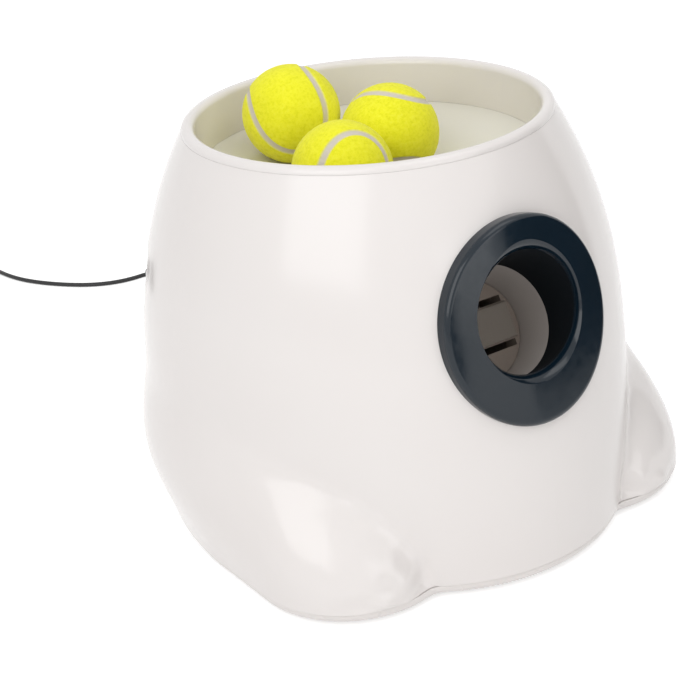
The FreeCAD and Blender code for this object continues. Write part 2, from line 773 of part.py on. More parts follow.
def make_rack_teeth():
    """Straight-sided teeth along the bottom of the plunger's bar."""
    pitch = math.pi * sector_module
    half = (pitch / 2 - gear_backlash) / 2
    slope = math.tan(math.radians(pressure_angle))
    tip = rack_pitch_v - 0.8 * sector_module
    root = rack_pitch_v + 1.1 * sector_module
    front = sector_s - stroke - pitch * 0.75
    points = [V(-rack_width / 2, front, rack_top_v), V(-rack_width / 2, front, root)]
    for k in range(-stroke_teeth, 1):
        middle = sector_s + (k + 0.5) * pitch
        points.append(V(-rack_width / 2, middle - half - slope * (root - rack_pitch_v), root))
        points.append(V(-rack_width / 2, middle - half + slope * (rack_pitch_v - tip), tip))
        points.append(V(-rack_width / 2, middle + half - slope * (rack_pitch_v - tip), tip))
        points.append(V(-rack_width / 2, middle + half + slope * (root - rack_pitch_v), root))
    back = sector_s + pitch * 1.5
    points += [V(-rack_width / 2, back, root), V(-rack_width / 2, back, rack_top_v)]
    face = Part.Face(Part.makePolygon(points + [points[0]]))
    return face.extrude(V(rack_width, 0, 0))


def make_plunger():
    """Round head, a roof that shuts the feed port behind it, and a toothed bar below."""
    back = plunger_face + plunger_head
    head = cylinder(plunger_radius, V(0, plunger_face, 0), V(0, back, 0))
    hollow = cylinder(plunger_radius - 4.0, V(0, plunger_face + 3.5, 0), V(0, back, 0))
    spring_cup = cylinder(spring_radius + spring_wire + 2.4, V(0, plunger_face, 0), V(0, back, 0))
    head = head.cut(hollow.cut(spring_cup))
    pocket = cylinder(spring_radius + spring_wire + 0.6, V(0, plunger_face + 5.0, 0), V(0, back, 0))
    head = head.cut(pocket)
    # the sector gear turns in this gap when the plunger is drawn right back
    head = head.cut(box(-gear_gap_half, gear_gap_half, plunger_face + 5.0, back + 1, -40, rack_pitch_v))
    for side in (-1, 1):
        low, high = sorted((side * slot_inner, side * (slot_inner + slot_height)))
        head = head.cut(box(-slot_half_width, slot_half_width, plunger_face - 1, back + 1, low, high))
    roof_end = plunger_face + stroke + 2.0
    roof = cylinder(plunger_radius, V(0, back - 2, 0), V(0, roof_end, 0))
    roof = roof.cut(cylinder(plunger_radius - plunger_skirt_wall, V(0, back - 2, 0), V(0, roof_end, 0)))
    half = math.radians(plunger_skirt_half_angle)
    reach = 60.0
    wedge = Part.Face(Part.makePolygon([V(0, 0, 0), V(-reach * math.sin(half), 0, reach * math.cos(half)),
                                        V(0, 0, reach), V(reach * math.sin(half), 0, reach * math.cos(half)),
                                        V(0, 0, 0)]))
    roof = roof.common(wedge.extrude(V(0, 300, 0)))
    rack = make_rack_teeth()
    rack_front = sector_s - stroke - math.pi * sector_module * 0.75
    tongue_front = plunger_face + 2.0
    tongue = box(-rack_width / 2, rack_width / 2, tongue_front, rack_front + 1,
                 rack_pitch_v + 1.1 * sector_module, rack_top_v)
    return in_barrel(head.fuse(roof).fuse(tongue).fuse(rack).removeSplitter())


def make_plunger_pad():
    pad = box(-pad_half_width, pad_half_width, plunger_face - pad_thickness, plunger_face,
              -pad_half_height, pad_half_height)
    edges = [e for e in pad.Edges if e.CenterOfMass.y < plunger_face - pad_thickness + 0.01]
    return in_barrel(pad.makeFillet(0.9, edges))


def make_spring():
    """Round wire wound between the plunger's cup and the seat, ends closed against both."""
    start = plunger_face + 5.0 + spring_wire
    end = spring_seat_s - spring_wire
    pitch = (end - start) / spring_turns
    helix = Part.makeHelix(pitch, end - start, spring_radius)
    profile = Part.Wire([Part.makeCircle(spring_wire, V(spring_radius, 0, 0), Y_AXIS)])
    wire = Part.Wire(helix).makePipeShell([profile], True, True)
    wire.rotate(V(0, 0, 0), X_AXIS, -90)
    wire.translate(V(0, start, 0))
    return in_barrel(wire)


def make_frame_plate(side, shafts, motor_centre):
    """Upright side plate that carries the barrel, the housing and the gear shafts."""
    floor = frame_floor()
    front_low = V(0, frame_front_y, floor)
    back_low = V(0, frame_back_y, floor)
    front_top = barrel_point(cone_end + 8, 9)
    back_top = barrel_point(housing_end, 9)
    outline = [front_low, back_low, back_low.add(V(0, 0, frame_back_height)), back_top, front_top,
               front_low.add(V(0, 0, frame_front_height))]
    face = Part.Face(Part.makePolygon(outline + [outline[0]]))
    x0 = side * frame_x if side > 0 else -frame_x - frame_thickness
    plate = face.extrude(V(frame_thickness, 0, 0))
    plate.translate(V(x0, 0, 0))
    foot_x = side * (frame_x + frame_foot_width)
    foot = box(min(side * frame_x, foot_x), max(side * frame_x, foot_x),
               front_low.y, back_low.y, floor, floor + frame_thickness)
    plate = plate.fuse(foot)
    for centre in shafts:
        plate = plate.cut(x_bar(bush_radius, centre, -80, 80))
    if side > 0:
        plate = plate.cut(x_bar(bush_radius, motor_centre, -80, 80))
    for s in frame_ear_middles():
        p = barrel_point(s, 0)
        plate = plate.cut(x_bar(screw_radius + 0.2, yz(p), -80, 80))
    window = box(-80, 80, *frame_window_ys, floor + 12, floor + 30)
    plate = plate.cut(window)
    for p in frame_screw_points():
        plate = plate.cut(cylinder(screw_radius + 0.2, p, p.add(V(0, 0, 30))))
    if side > 0:
        for p in motor_screw_points(motor_centre):
            plate = plate.cut(x_bar(screw_radius + 0.2, p, -80, 80))
    return plate


def motor_screw_points(motor_centre):
    return [(motor_centre[0], motor_centre[1] + sign * motor_screw_offset) for sign in (-1, 1)]


def make_gearhead(centre):
    """Round gearhead of the motor, with a boss that centres it in the frame plate."""
    face = frame_x + frame_thickness
    head = x_bar(gearhead_radius, centre, face, face + gearhead_length)
    boss = x_bar(motor_boss_radius, centre, frame_x + 0.4, face)
    bore = x_bar(motor_shaft_radius + running_clearance, centre, 0, face + motor_shaft_depth)
    head = head.fuse(boss).cut(bore)
    for p in motor_screw_points(centre):
        head = head.cut(x_bar(screw_radius, p, face, face + 6))
    return head


def make_motor(centre):
    """Motor can behind the gearhead, with its two terminals."""
    x0 = frame_x + frame_thickness + gearhead_length
    x1 = x0 + motor_length
    can = x_bar(gearhead_radius - 1.2, centre, x0, x1)
    edges = [e for e in can.Edges if abs(e.CenterOfMass.x - x1) < 0.01]
    can = can.makeFillet(2.0, edges)
    can = can.fuse(x_bar(4.5, centre, x1 - 0.5, x1 + 1.6))
    for sign in (-1, 1):
        y = centre[0] + sign * 8.0
        can = can.fuse(box(x1 - 0.5, x1 + 3.2, y - 0.3, y + 0.3, centre[1] - 1.4, centre[1] + 1.4))
    return can


def make_cycle_switch():
    """Microswitch on the left plate, which counts the strokes."""
    x0 = -frame_x + 0.1
    half = switch_length / 2
    top = switch_z + switch_height / 2
    body = box(x0, x0 + switch_width, switch_y - half, switch_y + half, top - switch_height, top)
    lever = box(x0 + 1.5, x0 + switch_width - 1.5, switch_y - half + 2, switch_y + half - 2, top, top + 0.6)
    return body.fuse(lever)


# ---------------------------------------------------------------- batteries

def make_battery_box():
    half, y0, y1, z0, z1 = battery_bounds()
    wall = battery_wall
    outer = box(-half - wall, half + wall, y0 - wall, y1 + wall, z0 + 0.1, z1 + wall)
    inner = box(-half, half, y0, y1, z0, z1)
    shell = outer.cut(inner)
    boss = box(-5, 5, y0 - wall - 9, y0 - wall, z0 + 0.1, z0 + 9)
    shell = shell.fuse(boss)
    return shell.cut(cylinder(screw_radius, door_screw_point(), door_screw_point().add(V(0, 0, z0 + 8))))


def make_battery_door():
    """Door in the pan's floor: two tabs hook in at the back, and one screw holds the front."""
    half, y0, y1, z0, _ = battery_bounds()
    door = battery_door_block(0.3)
    for x in (-cell_length / 2, cell_length / 2):
        back = y1 - door_inset - 0.3
        tab = box(x - 6, x + 6, back - 3, back + door_tab_length - 1.5, z0 + 0.1, z0 + 1.3)
        root = box(x - 6, x + 6, back - 3, back, z0 - 0.5, z0 + 1.3)
        door = door.fuse(tab).fuse(root)
    p = door_screw_point()
    door = door.cut(cylinder(screw_radius + 0.2, p, p.add(V(0, 0, 20))))
    return door.cut(cylinder(screw_head_radius + 0.3, p, p.add(V(0, 0, pad_height + screw_head_height))))


def battery_cell_points():
    half, y0, y1, z0, _ = battery_bounds()
    rows = (y0 + 0.4 + cell_radius, y1 - 0.8 - cell_radius)
    z = z0 + ball_gap + cell_radius
    first = -cell_length * cells_in_row / 2
    return [V(first + k * cell_length, y, z) for y in rows for k in range(cells_in_row)]


def make_cell(p):
    body_length = cell_length - cell_nub_height
    can = cylinder(cell_radius, p, p.add(V(body_length, 0, 0)))
    ends = [e for e in can.Edges if e.Length > cell_radius * 6]
    can = can.makeFillet(0.8, ends)
    return can.fuse(cylinder(cell_nub_radius, p.add(V(body_length - 0.5, 0, 0)), p.add(V(cell_length, 0, 0))))


def make_battery_contacts():
    half, y0, y1, z0, _ = battery_bounds()
    contacts = []
    for p in battery_cell_points()[::cells_in_row]:
        plate = box(-half + 0.02, -half + contact_thickness, p.y - 6, p.y + 6, p.z - 6, p.z + 6)
        coil = cone(5.0, 3.0, V(-half + contact_thickness, p.y, p.z), V(p.x - 0.02, p.y, p.z))
        contacts.append(plate.fuse(coil))
        flat = box(half - contact_thickness, half - 0.02, p.y - 6, p.y + 6, p.z - 6, p.z + 6)
        cell_end = cells_in_row * cell_length / 2 + 0.02
        bump = cone(4.5, 3.0, V(half - contact_thickness, p.y, p.z), V(cell_end, p.y, p.z))
        contacts.append(flat.fuse(bump))
    return contacts


# ---------------------------------------------------------------- control panel and board

def panel_face():
    """Distance of the control panel's face from the body's axis, at the panel's middle."""
    z = (panel_bottom + panel_top) / 2
    return form_radius(z, math.radians(panel_angle)) - panel_recess


def panel_bar(radius, x, r0, r1):
    """Round bar square to the control panel, drawn at the front and turned into place."""
    z = (panel_bottom + panel_top) / 2
    return on_side(cylinder(radius, V(x, -r1, z), V(x, -r0, z)), panel_angle)


def panel_shell(window_clearance, inset0, inset1):
    low = panel_bottom - 6
    high = panel_top + 6
    skin = form_solid(low, high, inset0, 8).cut(form_solid(low - 1, high + 1, inset1, 8))
    return skin.common(panel_window(window_clearance, panel_seat_radius(), belly_radius + 20))


def board_posts():
    x = board_half_width - 4.5
    low = panel_bottom + 4.5
    high = panel_top - 4.5
    return [(sx * x, z) for sx in (-1, 1) for z in (low, high)]


def make_control_panel():
    plate = panel_shell(panel_clearance, panel_recess, panel_recess + panel_thickness)
    inner = panel_recess + panel_thickness - 0.3
    flange = panel_shell(-3.0, shell_wall + 0.2, inner + 1.6)
    panel = plate.fuse(flange)
    for x, z in board_posts():
        post = cylinder(board_post_radius, V(x, -board_distance, z), V(x, -panel_face() - 8, z))
        post = on_side(post, panel_angle).common(form_solid(panel_bottom - 6, panel_top + 6, inner, 8))
        panel = panel.fuse(post)
        pilot = cylinder(screw_radius, V(x, -board_distance - 8, z), V(x, -board_distance + 1, z))
        panel = panel.cut(on_side(pilot, panel_angle))
    seat_radius = panel_button_radius + button_flange_width + panel_clearance
    seat = panel_face() - button_flange_depth + panel_clearance
    for x in (power_button_x, range_button_x):
        hole_radius = panel_button_radius + panel_clearance
        panel = panel.cut(panel_bar(hole_radius, x, board_distance, belly_radius + 20))
        panel = panel.cut(panel_bar(seat_radius, x, board_distance, seat))
    for x in lens_xs:
        panel = panel.cut(panel_bar(lens_radius + 0.1, x, board_distance, belly_radius + 20))
    return panel


def make_button(x):
    """Cap, a flange that keeps it behind the panel, and a stem towards the switch."""
    face = panel_face()
    cap = cylinder(panel_button_radius, V(x, -face + button_flange_depth + button_flange_thickness, 0),
                   V(x, -face - button_proud, 0))
    front = [e for e in cap.Edges if abs(e.CenterOfMass.y + face + button_proud) < 0.01]
    cap = cap.makeFillet(0.8, front)
    cap.translate(V(0, 0, (panel_bottom + panel_top) / 2))
    cap = on_side(cap, panel_angle)
    back = face - button_flange_depth - button_flange_thickness
    flange = panel_bar(panel_button_radius + button_flange_width, x, back, face - button_flange_depth)
    tip = board_distance + push_switch_height + button_travel + panel_clearance
    stem = panel_bar(2.0, x, tip, face - button_flange_depth - 0.5)
    return cap.fuse(flange).fuse(stem)


def make_lens(x):
    face = panel_face()
    return panel_bar(lens_radius, x, board_distance + board_thickness + 1.8, face + 0.4)


def on_panel(shape):
    return on_side(shape, panel_angle)


def make_control_board():
    r0 = board_distance - 0.1
    board = box(-board_half_width, board_half_width, -r0, -r0 + board_thickness,
                panel_bottom + 0.5, panel_top - 0.5)
    for x, z in board_posts():
        board = board.cut(cylinder(screw_radius + 0.1, V(x, -r0 - 1, z), V(x, -r0 + 4, z)))
    return on_panel(board)


def make_board_parts():
    """Two push switches and three lamps towards the panel; driver chip, relay and capacitor behind."""
    z = (panel_bottom + panel_top) / 2
    front = -board_distance + 0.1
    back = front + board_thickness
    parts = []
    for x in (power_button_x, range_button_x):
        body = box(x - 3, x + 3, front - 3.4, front, z - 3, z + 3)
        parts.append(body.fuse(cylinder(1.7, V(x, front - push_switch_height, z), V(x, front - 3.0, z))))
    for x in lens_xs:
        parts.append(box(x - 1.6, x + 1.6, front - 1.2, front, z - 1.6, z + 1.6))
    parts.append(box(-20, -6, back, back + 1.6, z - 5, z + 5))
    parts.append(box(8, 20, back, back + 10, z - 6, z + 6))
    parts.append(cylinder(4.0, V(28, back, z + 4), V(28, back + 12, z + 4)))
    return [on_panel(part) for part in parts]


# ---------------------------------------------------------------- socket, plug, cord and adapter

def plug_start():
    return form_radius(jack_z, math.pi) + 0.3


def make_dc_jack():
    y1 = plug_start() - 0.7
    block = box(-7, 7, y1 - 20, y1 - 7, jack_z - 6, jack_z + 6)
    nose = cylinder(jack_hole_radius - 0.3, V(0, y1 - 8, jack_z), V(0, y1, jack_z))
    bore = cylinder(jack_pin_radius + 0.05, V(0, y1 - jack_pin_length - 0.5, jack_z), V(0, y1 + 1, jack_z))
    return block.fuse(nose).cut(bore)


def make_jack_bracket():
    """Upright bracket on the pan that holds the socket against the back wall."""
    y1 = plug_start() - 0.7
    floor = pad_height + pan_floor + 0.1
    post = box(-8, 8, y1 - 19, y1 - 8, floor, jack_z - 6.1)
    rear = box(-8, 8, y1 - 22.6, y1 - 20.1, floor, jack_z + 6)
    web = box(-8, 8, y1 - 22.6, y1 - 8, floor, floor + 3)
    return post.fuse(rear).fuse(web)


def make_dc_plug():
    y0 = plug_start()
    body = cylinder(plug_radius, V(0, y0, jack_z), V(0, y0 + plug_length, jack_z))
    body = body.makeFillet(0.8, body.Edges[0:1])
    pin = cylinder(jack_pin_radius, V(0, y0 - jack_pin_length, jack_z), V(0, y0 + 1, jack_z))
    hole = cylinder(1.05, V(0, y0 - jack_pin_length, jack_z), V(0, y0 - 1, jack_z))
    relief = cone(plug_radius - 0.8, cord_radius + 0.5, V(0, y0 + plug_length, jack_z),
                  V(0, y0 + plug_length + plug_relief_length, jack_z))
    return body.fuse(pin).cut(hole).fuse(relief)


def cord_start():
    return V(0, plug_start() + plug_length + plug_relief_length, jack_z)


def main_cord_points():
    """From the plug down to the floor, round to the left behind the body and up to the coil."""
    start = cord_start()
    z = cord_radius
    route = [(0.5, 189, 31.3), (3, 205, 22), (8, 221, 7.5), (16, 240, z), (29, 265, z), (45, 294, z),
             (62, 322, z), (66, 348, z), (50, 368, z), (24, 367, z), (2, 378, z), (-17, 400, z),
             (-31, 425, z), (-37, 452, z), (-37, 479, z), (-35.5, 504, z)]
    return [start] + [V(*p) for p in route]


def make_coil():
    inner = coil_middle_radius - coil_half_width
    outer = coil_middle_radius + coil_half_width
    base = V(coil_x, coil_y, 0)
    top = V(coil_x, coil_y, coil_height)
    ring = cylinder(outer, base, top).cut(cylinder(inner, base, top))
    return ring.makeFillet(2.4, ring.Edges)


def adapter_relief_end():
    return V(coil_x - coil_middle_radius - 22, coil_y + coil_middle_radius + 4, adapter_height / 2)


def lead_points():
    """From the coil to the adapter's strain relief."""
    end = adapter_relief_end()
    y = coil_y + coil_middle_radius
    return [V(coil_x - 1, y, 6), V(coil_x - 12, y + 2.0, 9.0), V(coil_x - 24, end.y, end.z), end]


def make_adapter():
    end = adapter_relief_end()
    x1 = end.x - adapter_relief_length
    x0 = x1 - adapter_length
    half = adapter_width / 2
    body = box(x0, x1, end.y - half, end.y + half, 0, adapter_height)
    body = body.makeFillet(4.0, body.Edges)
    relief = cone(4.0, cord_radius + 0.5, V(x1 - 0.5, end.y, end.z), end)
    body = body.fuse(relief)
    pins = []
    for side in (-1, 1):
        y = end.y + side * 9.5
        pins.append(cylinder(2.0, V(x0, y, end.z), V(x0 - 19, y, end.z)))
    return body, pins


def frame_floor():
    """Underside of the frame plates' feet, which stand on bosses of the pan."""
    return pad_height + pan_floor + frame_boss_height + 0.1


def frame_screw_points():
    x = frame_x + frame_foot_width - frame_boss_radius
    ys = (frame_front_y + frame_screw_inset, frame_back_y - frame_screw_inset)
    return [V(side * x, y, 0) for side in (-1, 1) for y in ys]


def frame_ear_middles():
    start = barrel_end + part_gap
    return [cone_end + 18, barrel_end - 7, start + 7, housing_end - 8]


def make_bush(centre, side):
    """Flanged bush pressed into a frame plate."""
    inner = side * (frame_x - 1.0)
    face = side * frame_x
    outer = side * (frame_x + frame_thickness)
    bush = x_bar(bush_radius, centre, min(face, outer), max(face, outer))
    flange = x_bar(bush_radius + 1.2, centre, min(inner, face), max(inner, face))
    hole = x_bar(shaft_radius + running_clearance, centre, -80, 80)
    return bush.fuse(flange).cut(hole)


# ---------------------------------------------------------------- cord

def cord_wire(points, label):
    """Straight runs joined by tangent arcs, each as large as its two runs allow."""
    edges = []
    start = points[0]
    radii = []
    for before, corner, after in zip(points, points[1:], points[2:]):
        run_in = corner.sub(before)
        run_out = after.sub(corner)
        turn = run_in.getAngle(run_out)
        reach = 0.45 * min(run_in.Length, run_out.Length)
        radii.append(round(reach / math.tan(turn / 2), 1))
        first = corner.sub(V(run_in).normalize() * reach)
        last = corner.add(V(run_out).normalize() * reach)
        bisector = V(run_out).normalize().sub(V(run_in).normalize()).normalize()
        radius = reach / math.tan(turn / 2)
        middle = corner.add(bisector * (radius / math.cos(turn / 2) - radius))
        edges.append(Part.LineSegment(start, first).toShape())
        edges.append(Part.Arc(first, middle, last).toShape())
        start = last
    edges.append(Part.LineSegment(start, points[-1]).toShape())
    print(label, "radii", radii)
    return Part.Wire(edges)


def cord_tube(points, label):
    wire = cord_wire(points, label)
    start = points[0]
    along = points[1].sub(points[0])
    profile = Part.Wire([Part.makeCircle(cord_radius, start, along)])
    tube = wire.makePipeShell([profile], True, False)
    expected = math.pi * cord_radius ** 2 * wire.Length
    print(label, "length", round(wire.Length, 1), "volume ratio", round(tube.Volume / expected, 4))
    return tube


# ---------------------------------------------------------------- balls

def funnel_height(x, y):
    """Height of a ball's middle when it rests on the funnel at (x, y)."""
    top = skirt_bottom - 0.1
    mouth = skirt_radius - part_gap
    highest = 0.0
    for i in range(360):
        a = math.radians(i)
        for k in range(81):
            t = k / 80
            r = funnel_hole_radius + (mouth - funnel_hole_radius) * t
            px = r * math.cos(a)
            py = r * math.sin(a) + funnel_hole_y * (1 - t)
            d2 = (px - x) ** 2 + (py - y) ** 2
            if d2 < ball_radius ** 2:
                pz = funnel_hole_z + (top - funnel_hole_z) * t
                highest = max(highest, pz + math.sqrt(ball_radius ** 2 - d2))
    return highest + ball_gap


# ---------------------------------------------------------------- build

os.makedirs("parts", exist_ok=True)

outer_form = form_solid(shell_bottom, shell_top)
write("body_shell", make_shell(outer_form))
write("bowl_wall", make_bowl_wall())
write("base_pan", make_pan())
pads = [cylinder(pad_radius, p, p.add(V(0, 0, pad_height))) for p in pad_points()]
write("foot_pads", *pads)
write("base_screws", *[screw(p.add(V(0, 0, pad_height + 2.3)), Z_AXIS, 14.0) for p in foot_screw_points()])

write("hopper_funnel", make_funnel())
write("funnel_screws", *[screw(p.add(V(0, 0, skirt_bottom - 0.1 - funnel_wall)), Z_AXIS, 10.0)
                         for p in funnel_screw_points()])
write("feed_tube", make_feed_tube())
write("ball_sensors", *make_ball_sensors())

write("exit_bezel", make_bezel(outer_form))
write("launch_barrel", make_barrel())
write("striker_housing", make_housing())
write("spring_seat", make_spring_seat())
write("striker_plunger", make_plunger())
write("striker_pad", make_plunger_pad())
write("striker_spring", make_spring())

# gears: the sector gear under the rack, then two steps of reduction to the motor
sector_centre = yz(barrel_point(sector_s, sector_v))
first_distance = train_module * (output_teeth + small_teeth) / 2
second_distance = train_module * (compound_teeth + small_teeth) / 2
compound_centre = towards(sector_centre, first_stage_angle, first_distance)
motor_centre = towards(compound_centre, second_stage_angle, second_distance)

rack_direction = math.pi / 2 - math.radians(launch_angle)
sector = gear(sector_centre, -rack_width / 2 - 0.5, rack_width + 1.0, sector_module, sector_size,
              rack_direction, shaft_radius, range(0, stroke_teeth + 1))
write("sector_gear", sector)
write("output_gear", gear(sector_centre, output_gear_x, output_gear_width, train_module, output_teeth, 0.0,
                          shaft_radius))
small_phase = meshing_phase(0.0, output_teeth, small_teeth, math.radians(first_stage_angle), train_module)
small = gear(compound_centre, output_gear_x - 0.5, output_gear_width + 1.0, train_module, small_teeth,
             small_phase, shaft_radius)
large = gear(compound_centre, compound_gear_x, compound_gear_width, train_module, compound_teeth, 0.0,
             shaft_radius)
hub = x_bar(4.2, compound_centre, compound_gear_x + compound_gear_width, output_gear_x - 0.5)
hub = hub.cut(x_bar(shaft_radius, compound_centre, 0, 60))
write("compound_gear", small.fuse(large).fuse(hub).removeSplitter())
pinion_phase = meshing_phase(0.0, compound_teeth, small_teeth, math.radians(second_stage_angle), train_module)
write("motor_pinion", gear(motor_centre, compound_gear_x - 1, compound_gear_width + 2, train_module,
                           small_teeth, pinion_phase, motor_shaft_radius))

shaft_end = frame_x + frame_thickness
write("sector_shaft", x_bar(shaft_radius, sector_centre, -shaft_end, shaft_end))
write("compound_shaft", x_bar(shaft_radius, compound_centre, -shaft_end, shaft_end))
write("shaft_bushes", *[make_bush(c, side) for c in (sector_centre, compound_centre) for side in (-1, 1)])
for side, name in ((-1, "frame_plate_left"), (1, "frame_plate_right")):
    write(name, make_frame_plate(side, (sector_centre, compound_centre), motor_centre))

write("motor_gearhead", make_gearhead(motor_centre))
write("drive_motor", make_motor(motor_centre))
write("motor_shaft", x_bar(motor_shaft_radius, motor_centre, compound_gear_x - 2,
                           frame_x + frame_thickness + motor_shaft_depth - 0.2))
write("motor_screws", *[screw(V(frame_x, *p), V(1, 0, 0), 8.0) for p in motor_screw_points(motor_centre)])
ear_screws = []
for side in (-1, 1):
    for s in frame_ear_middles():
        p = barrel_point(s, 0)
        ear_screws.append(screw(V(side * (frame_x + frame_thickness), p.y, p.z), V(-side, 0, 0), 9.0))
write("barrel_screws", *ear_screws)
write("frame_screws", *[screw(p.add(V(0, 0, frame_floor() + frame_thickness)), V(0, 0, -1), 6.0)
                        for p in frame_screw_points()])
write("cycle_switch", make_cycle_switch())

write("battery_box", make_battery_box())
write("battery_door", make_battery_door())
door_screw_head = door_screw_point().add(V(0, 0, pad_height + screw_head_height))
write("battery_door_screw", screw(door_screw_head, Z_AXIS, 6.5))
write("battery_cells", *[make_cell(p) for p in battery_cell_points()])
write("battery_contacts", *make_battery_contacts())

write("control_panel", make_control_panel())
write("power_button", make_button(power_button_x))
write("range_button", make_button(range_button_x))
write("indicator_lenses", *[make_lens(x) for x in lens_xs])
write("control_board", make_control_board())
write("board_parts", *make_board_parts())
board_screws = []
for x, z in board_posts():
    head = V(x, -board_distance + 0.1 + board_thickness, z)
    board_screws.append(on_panel(screw(head, V(0, -1, 0), 7.0)))
write("board_screws", *board_screws)

write("dc_jack", make_dc_jack())
write("jack_bracket", make_jack_bracket())
write("dc_plug", make_dc_plug())
coil = make_coil()
coil_reach = cylinder(coil_middle_radius + coil_half_width, V(coil_x, coil_y, -5), V(coil_x, coil_y, 30))
write("power_cord", cord_tube(main_cord_points(), "power_cord").cut(coil_reach))
write("cord_coil", coil)
write("adapter_lead", cord_tube(lead_points(), "adapter_lead").cut(coil_reach))
adapter, pins = make_adapter()
write("wall_adapter", adapter)
write("adapter_pins", *pins)

balls = []
for index, (x, y) in enumerate(ball_places):
    middle = V(x, y, funnel_height(x, y))
    balls.append(middle)
    write("ball_%d" % (index + 1), Part.makeSphere(ball_radius, middle))
for i in range(3):
    print("balls apart", round(balls[i].sub(balls[(i + 1) % 3]).Length, 2), balls[i])

print("stroke", round(stroke, 3), "sector", sector_centre, "compound", compound_centre, "motor", motor_centre)
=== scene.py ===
import bpy
import math
import random
from mathutils import Matrix, Quaternion, Vector
from mathutils.kdtree import KDTree


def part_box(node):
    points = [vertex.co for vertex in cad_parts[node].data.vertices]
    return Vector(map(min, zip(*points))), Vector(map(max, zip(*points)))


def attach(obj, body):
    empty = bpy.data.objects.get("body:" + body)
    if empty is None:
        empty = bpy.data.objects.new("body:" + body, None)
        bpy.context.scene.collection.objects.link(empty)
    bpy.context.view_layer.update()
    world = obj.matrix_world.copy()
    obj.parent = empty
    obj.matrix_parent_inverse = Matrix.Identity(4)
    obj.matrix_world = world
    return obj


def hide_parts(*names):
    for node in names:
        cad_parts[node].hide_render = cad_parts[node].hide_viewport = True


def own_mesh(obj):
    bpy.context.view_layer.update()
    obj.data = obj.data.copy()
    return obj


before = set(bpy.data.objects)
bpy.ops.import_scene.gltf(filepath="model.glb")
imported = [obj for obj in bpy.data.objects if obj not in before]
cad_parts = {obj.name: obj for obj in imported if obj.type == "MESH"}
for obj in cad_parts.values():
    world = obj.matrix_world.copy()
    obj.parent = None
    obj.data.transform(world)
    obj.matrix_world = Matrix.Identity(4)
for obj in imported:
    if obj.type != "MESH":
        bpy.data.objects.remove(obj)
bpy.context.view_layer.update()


# ---------------------------------------------------------------- base pan, feet and their screws
# Shallow white tray moulded in ABS, which closes the launcher's underside.
# It stands on four glued rubber pads, and four screws pull it up against the shell.

def surface_of(name):
    """A new material with the parts that each finish below starts from."""
    material = bpy.data.materials.new(name)
    material.use_nodes = True
    nodes = material.node_tree.nodes
    links = material.node_tree.links
    return material, nodes, links, nodes["Principled BSDF"], nodes.new("ShaderNodeTexCoord")


def noise_on(nodes, links, source, scale, detail=2.0, roughness=0.5):
    noise = nodes.new("ShaderNodeTexNoise")
    noise.inputs["Scale"].default_value = scale
    noise.inputs["Detail"].default_value = detail
    noise.inputs["Roughness"].default_value = roughness
    links.new(source, noise.inputs["Vector"])
    return noise.outputs["Fac"]


def ramp_on(nodes, links, source, stops):
    """Colours that follow a value; each stop is a position and a colour."""
    ramp = nodes.new("ShaderNodeValToRGB")
    while len(ramp.color_ramp.elements) < len(stops):
        ramp.color_ramp.elements.new(0.5)
    for element, (position, colour) in zip(ramp.color_ramp.elements, stops):
        element.position = position
        element.color = (*colour, 1)
    links.new(source, ramp.inputs["Fac"])
    return ramp.outputs["Color"]


def range_on(nodes, links, source, low, high, from_low=0.3, from_high=0.7):
    change = nodes.new("ShaderNodeMapRange")
    change.inputs["From Min"].default_value = from_low
    change.inputs["From Max"].default_value = from_high
    change.inputs["To Min"].default_value = low
    change.inputs["To Max"].default_value = high
    links.new(source, change.inputs["Value"])
    return change.outputs["Result"]


def bump_on(nodes, links, source, depth, surface):
    bump = nodes.new("ShaderNodeBump")
    bump.inputs["Strength"].default_value = 1.0
    bump.inputs["Distance"].default_value = depth
    links.new(source, bump.inputs["Height"])
    links.new(bump.outputs["Normal"], surface.inputs["Normal"])


def moulded_plastic(name, colour, flow_colour, rough_low, rough_high, grain=1400.0, grain_depth=0.000012):
    """Injection-moulded plastic: slow drift of tint and gloss from the melt's flow, over fine grain."""
    material, nodes, links, surface, place = surface_of(name)
    flow = noise_on(nodes, links, place.outputs["Object"], 17.0, 3.0)
    tint = ramp_on(nodes, links, flow, [(0.32, flow_colour), (0.68, colour)])
    links.new(tint, surface.inputs["Base Color"])
    links.new(range_on(nodes, links, flow, rough_low, rough_high), surface.inputs["Roughness"])
    tool_grain = noise_on(nodes, links, place.outputs["Object"], grain, 2.0)
    bump_on(nodes, links, tool_grain, grain_depth, surface)
    return material


def drawn_metal(name, colour, dark_colour, rough_low, rough_high, stretch=(1, 1, 1), depth=0.00001):
    """Bare metal with the fine marks of the tool, stretched along the way it was drawn or turned."""
    material, nodes, links, surface, place = surface_of(name)
    surface.inputs["Metallic"].default_value = 1.0
    along = nodes.new("ShaderNodeMapping")
    along.inputs["Scale"].default_value = stretch
    links.new(place.outputs["Object"], along.inputs["Vector"])
    marks = noise_on(nodes, links, along.outputs["Vector"], 420.0, 4.0, 0.6)
    tint = ramp_on(nodes, links, marks, [(0.3, dark_colour), (0.7, colour)])
    links.new(tint, surface.inputs["Base Color"])
    links.new(range_on(nodes, links, marks, rough_low, rough_high), surface.inputs["Roughness"])
    bump_on(nodes, links, marks, depth, surface)
    return material


def dress(material, *names):
    """Give solids of the frame a finish."""
    for name in names:
        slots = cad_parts[name].data.materials
        slots.clear()
        slots.append(material)


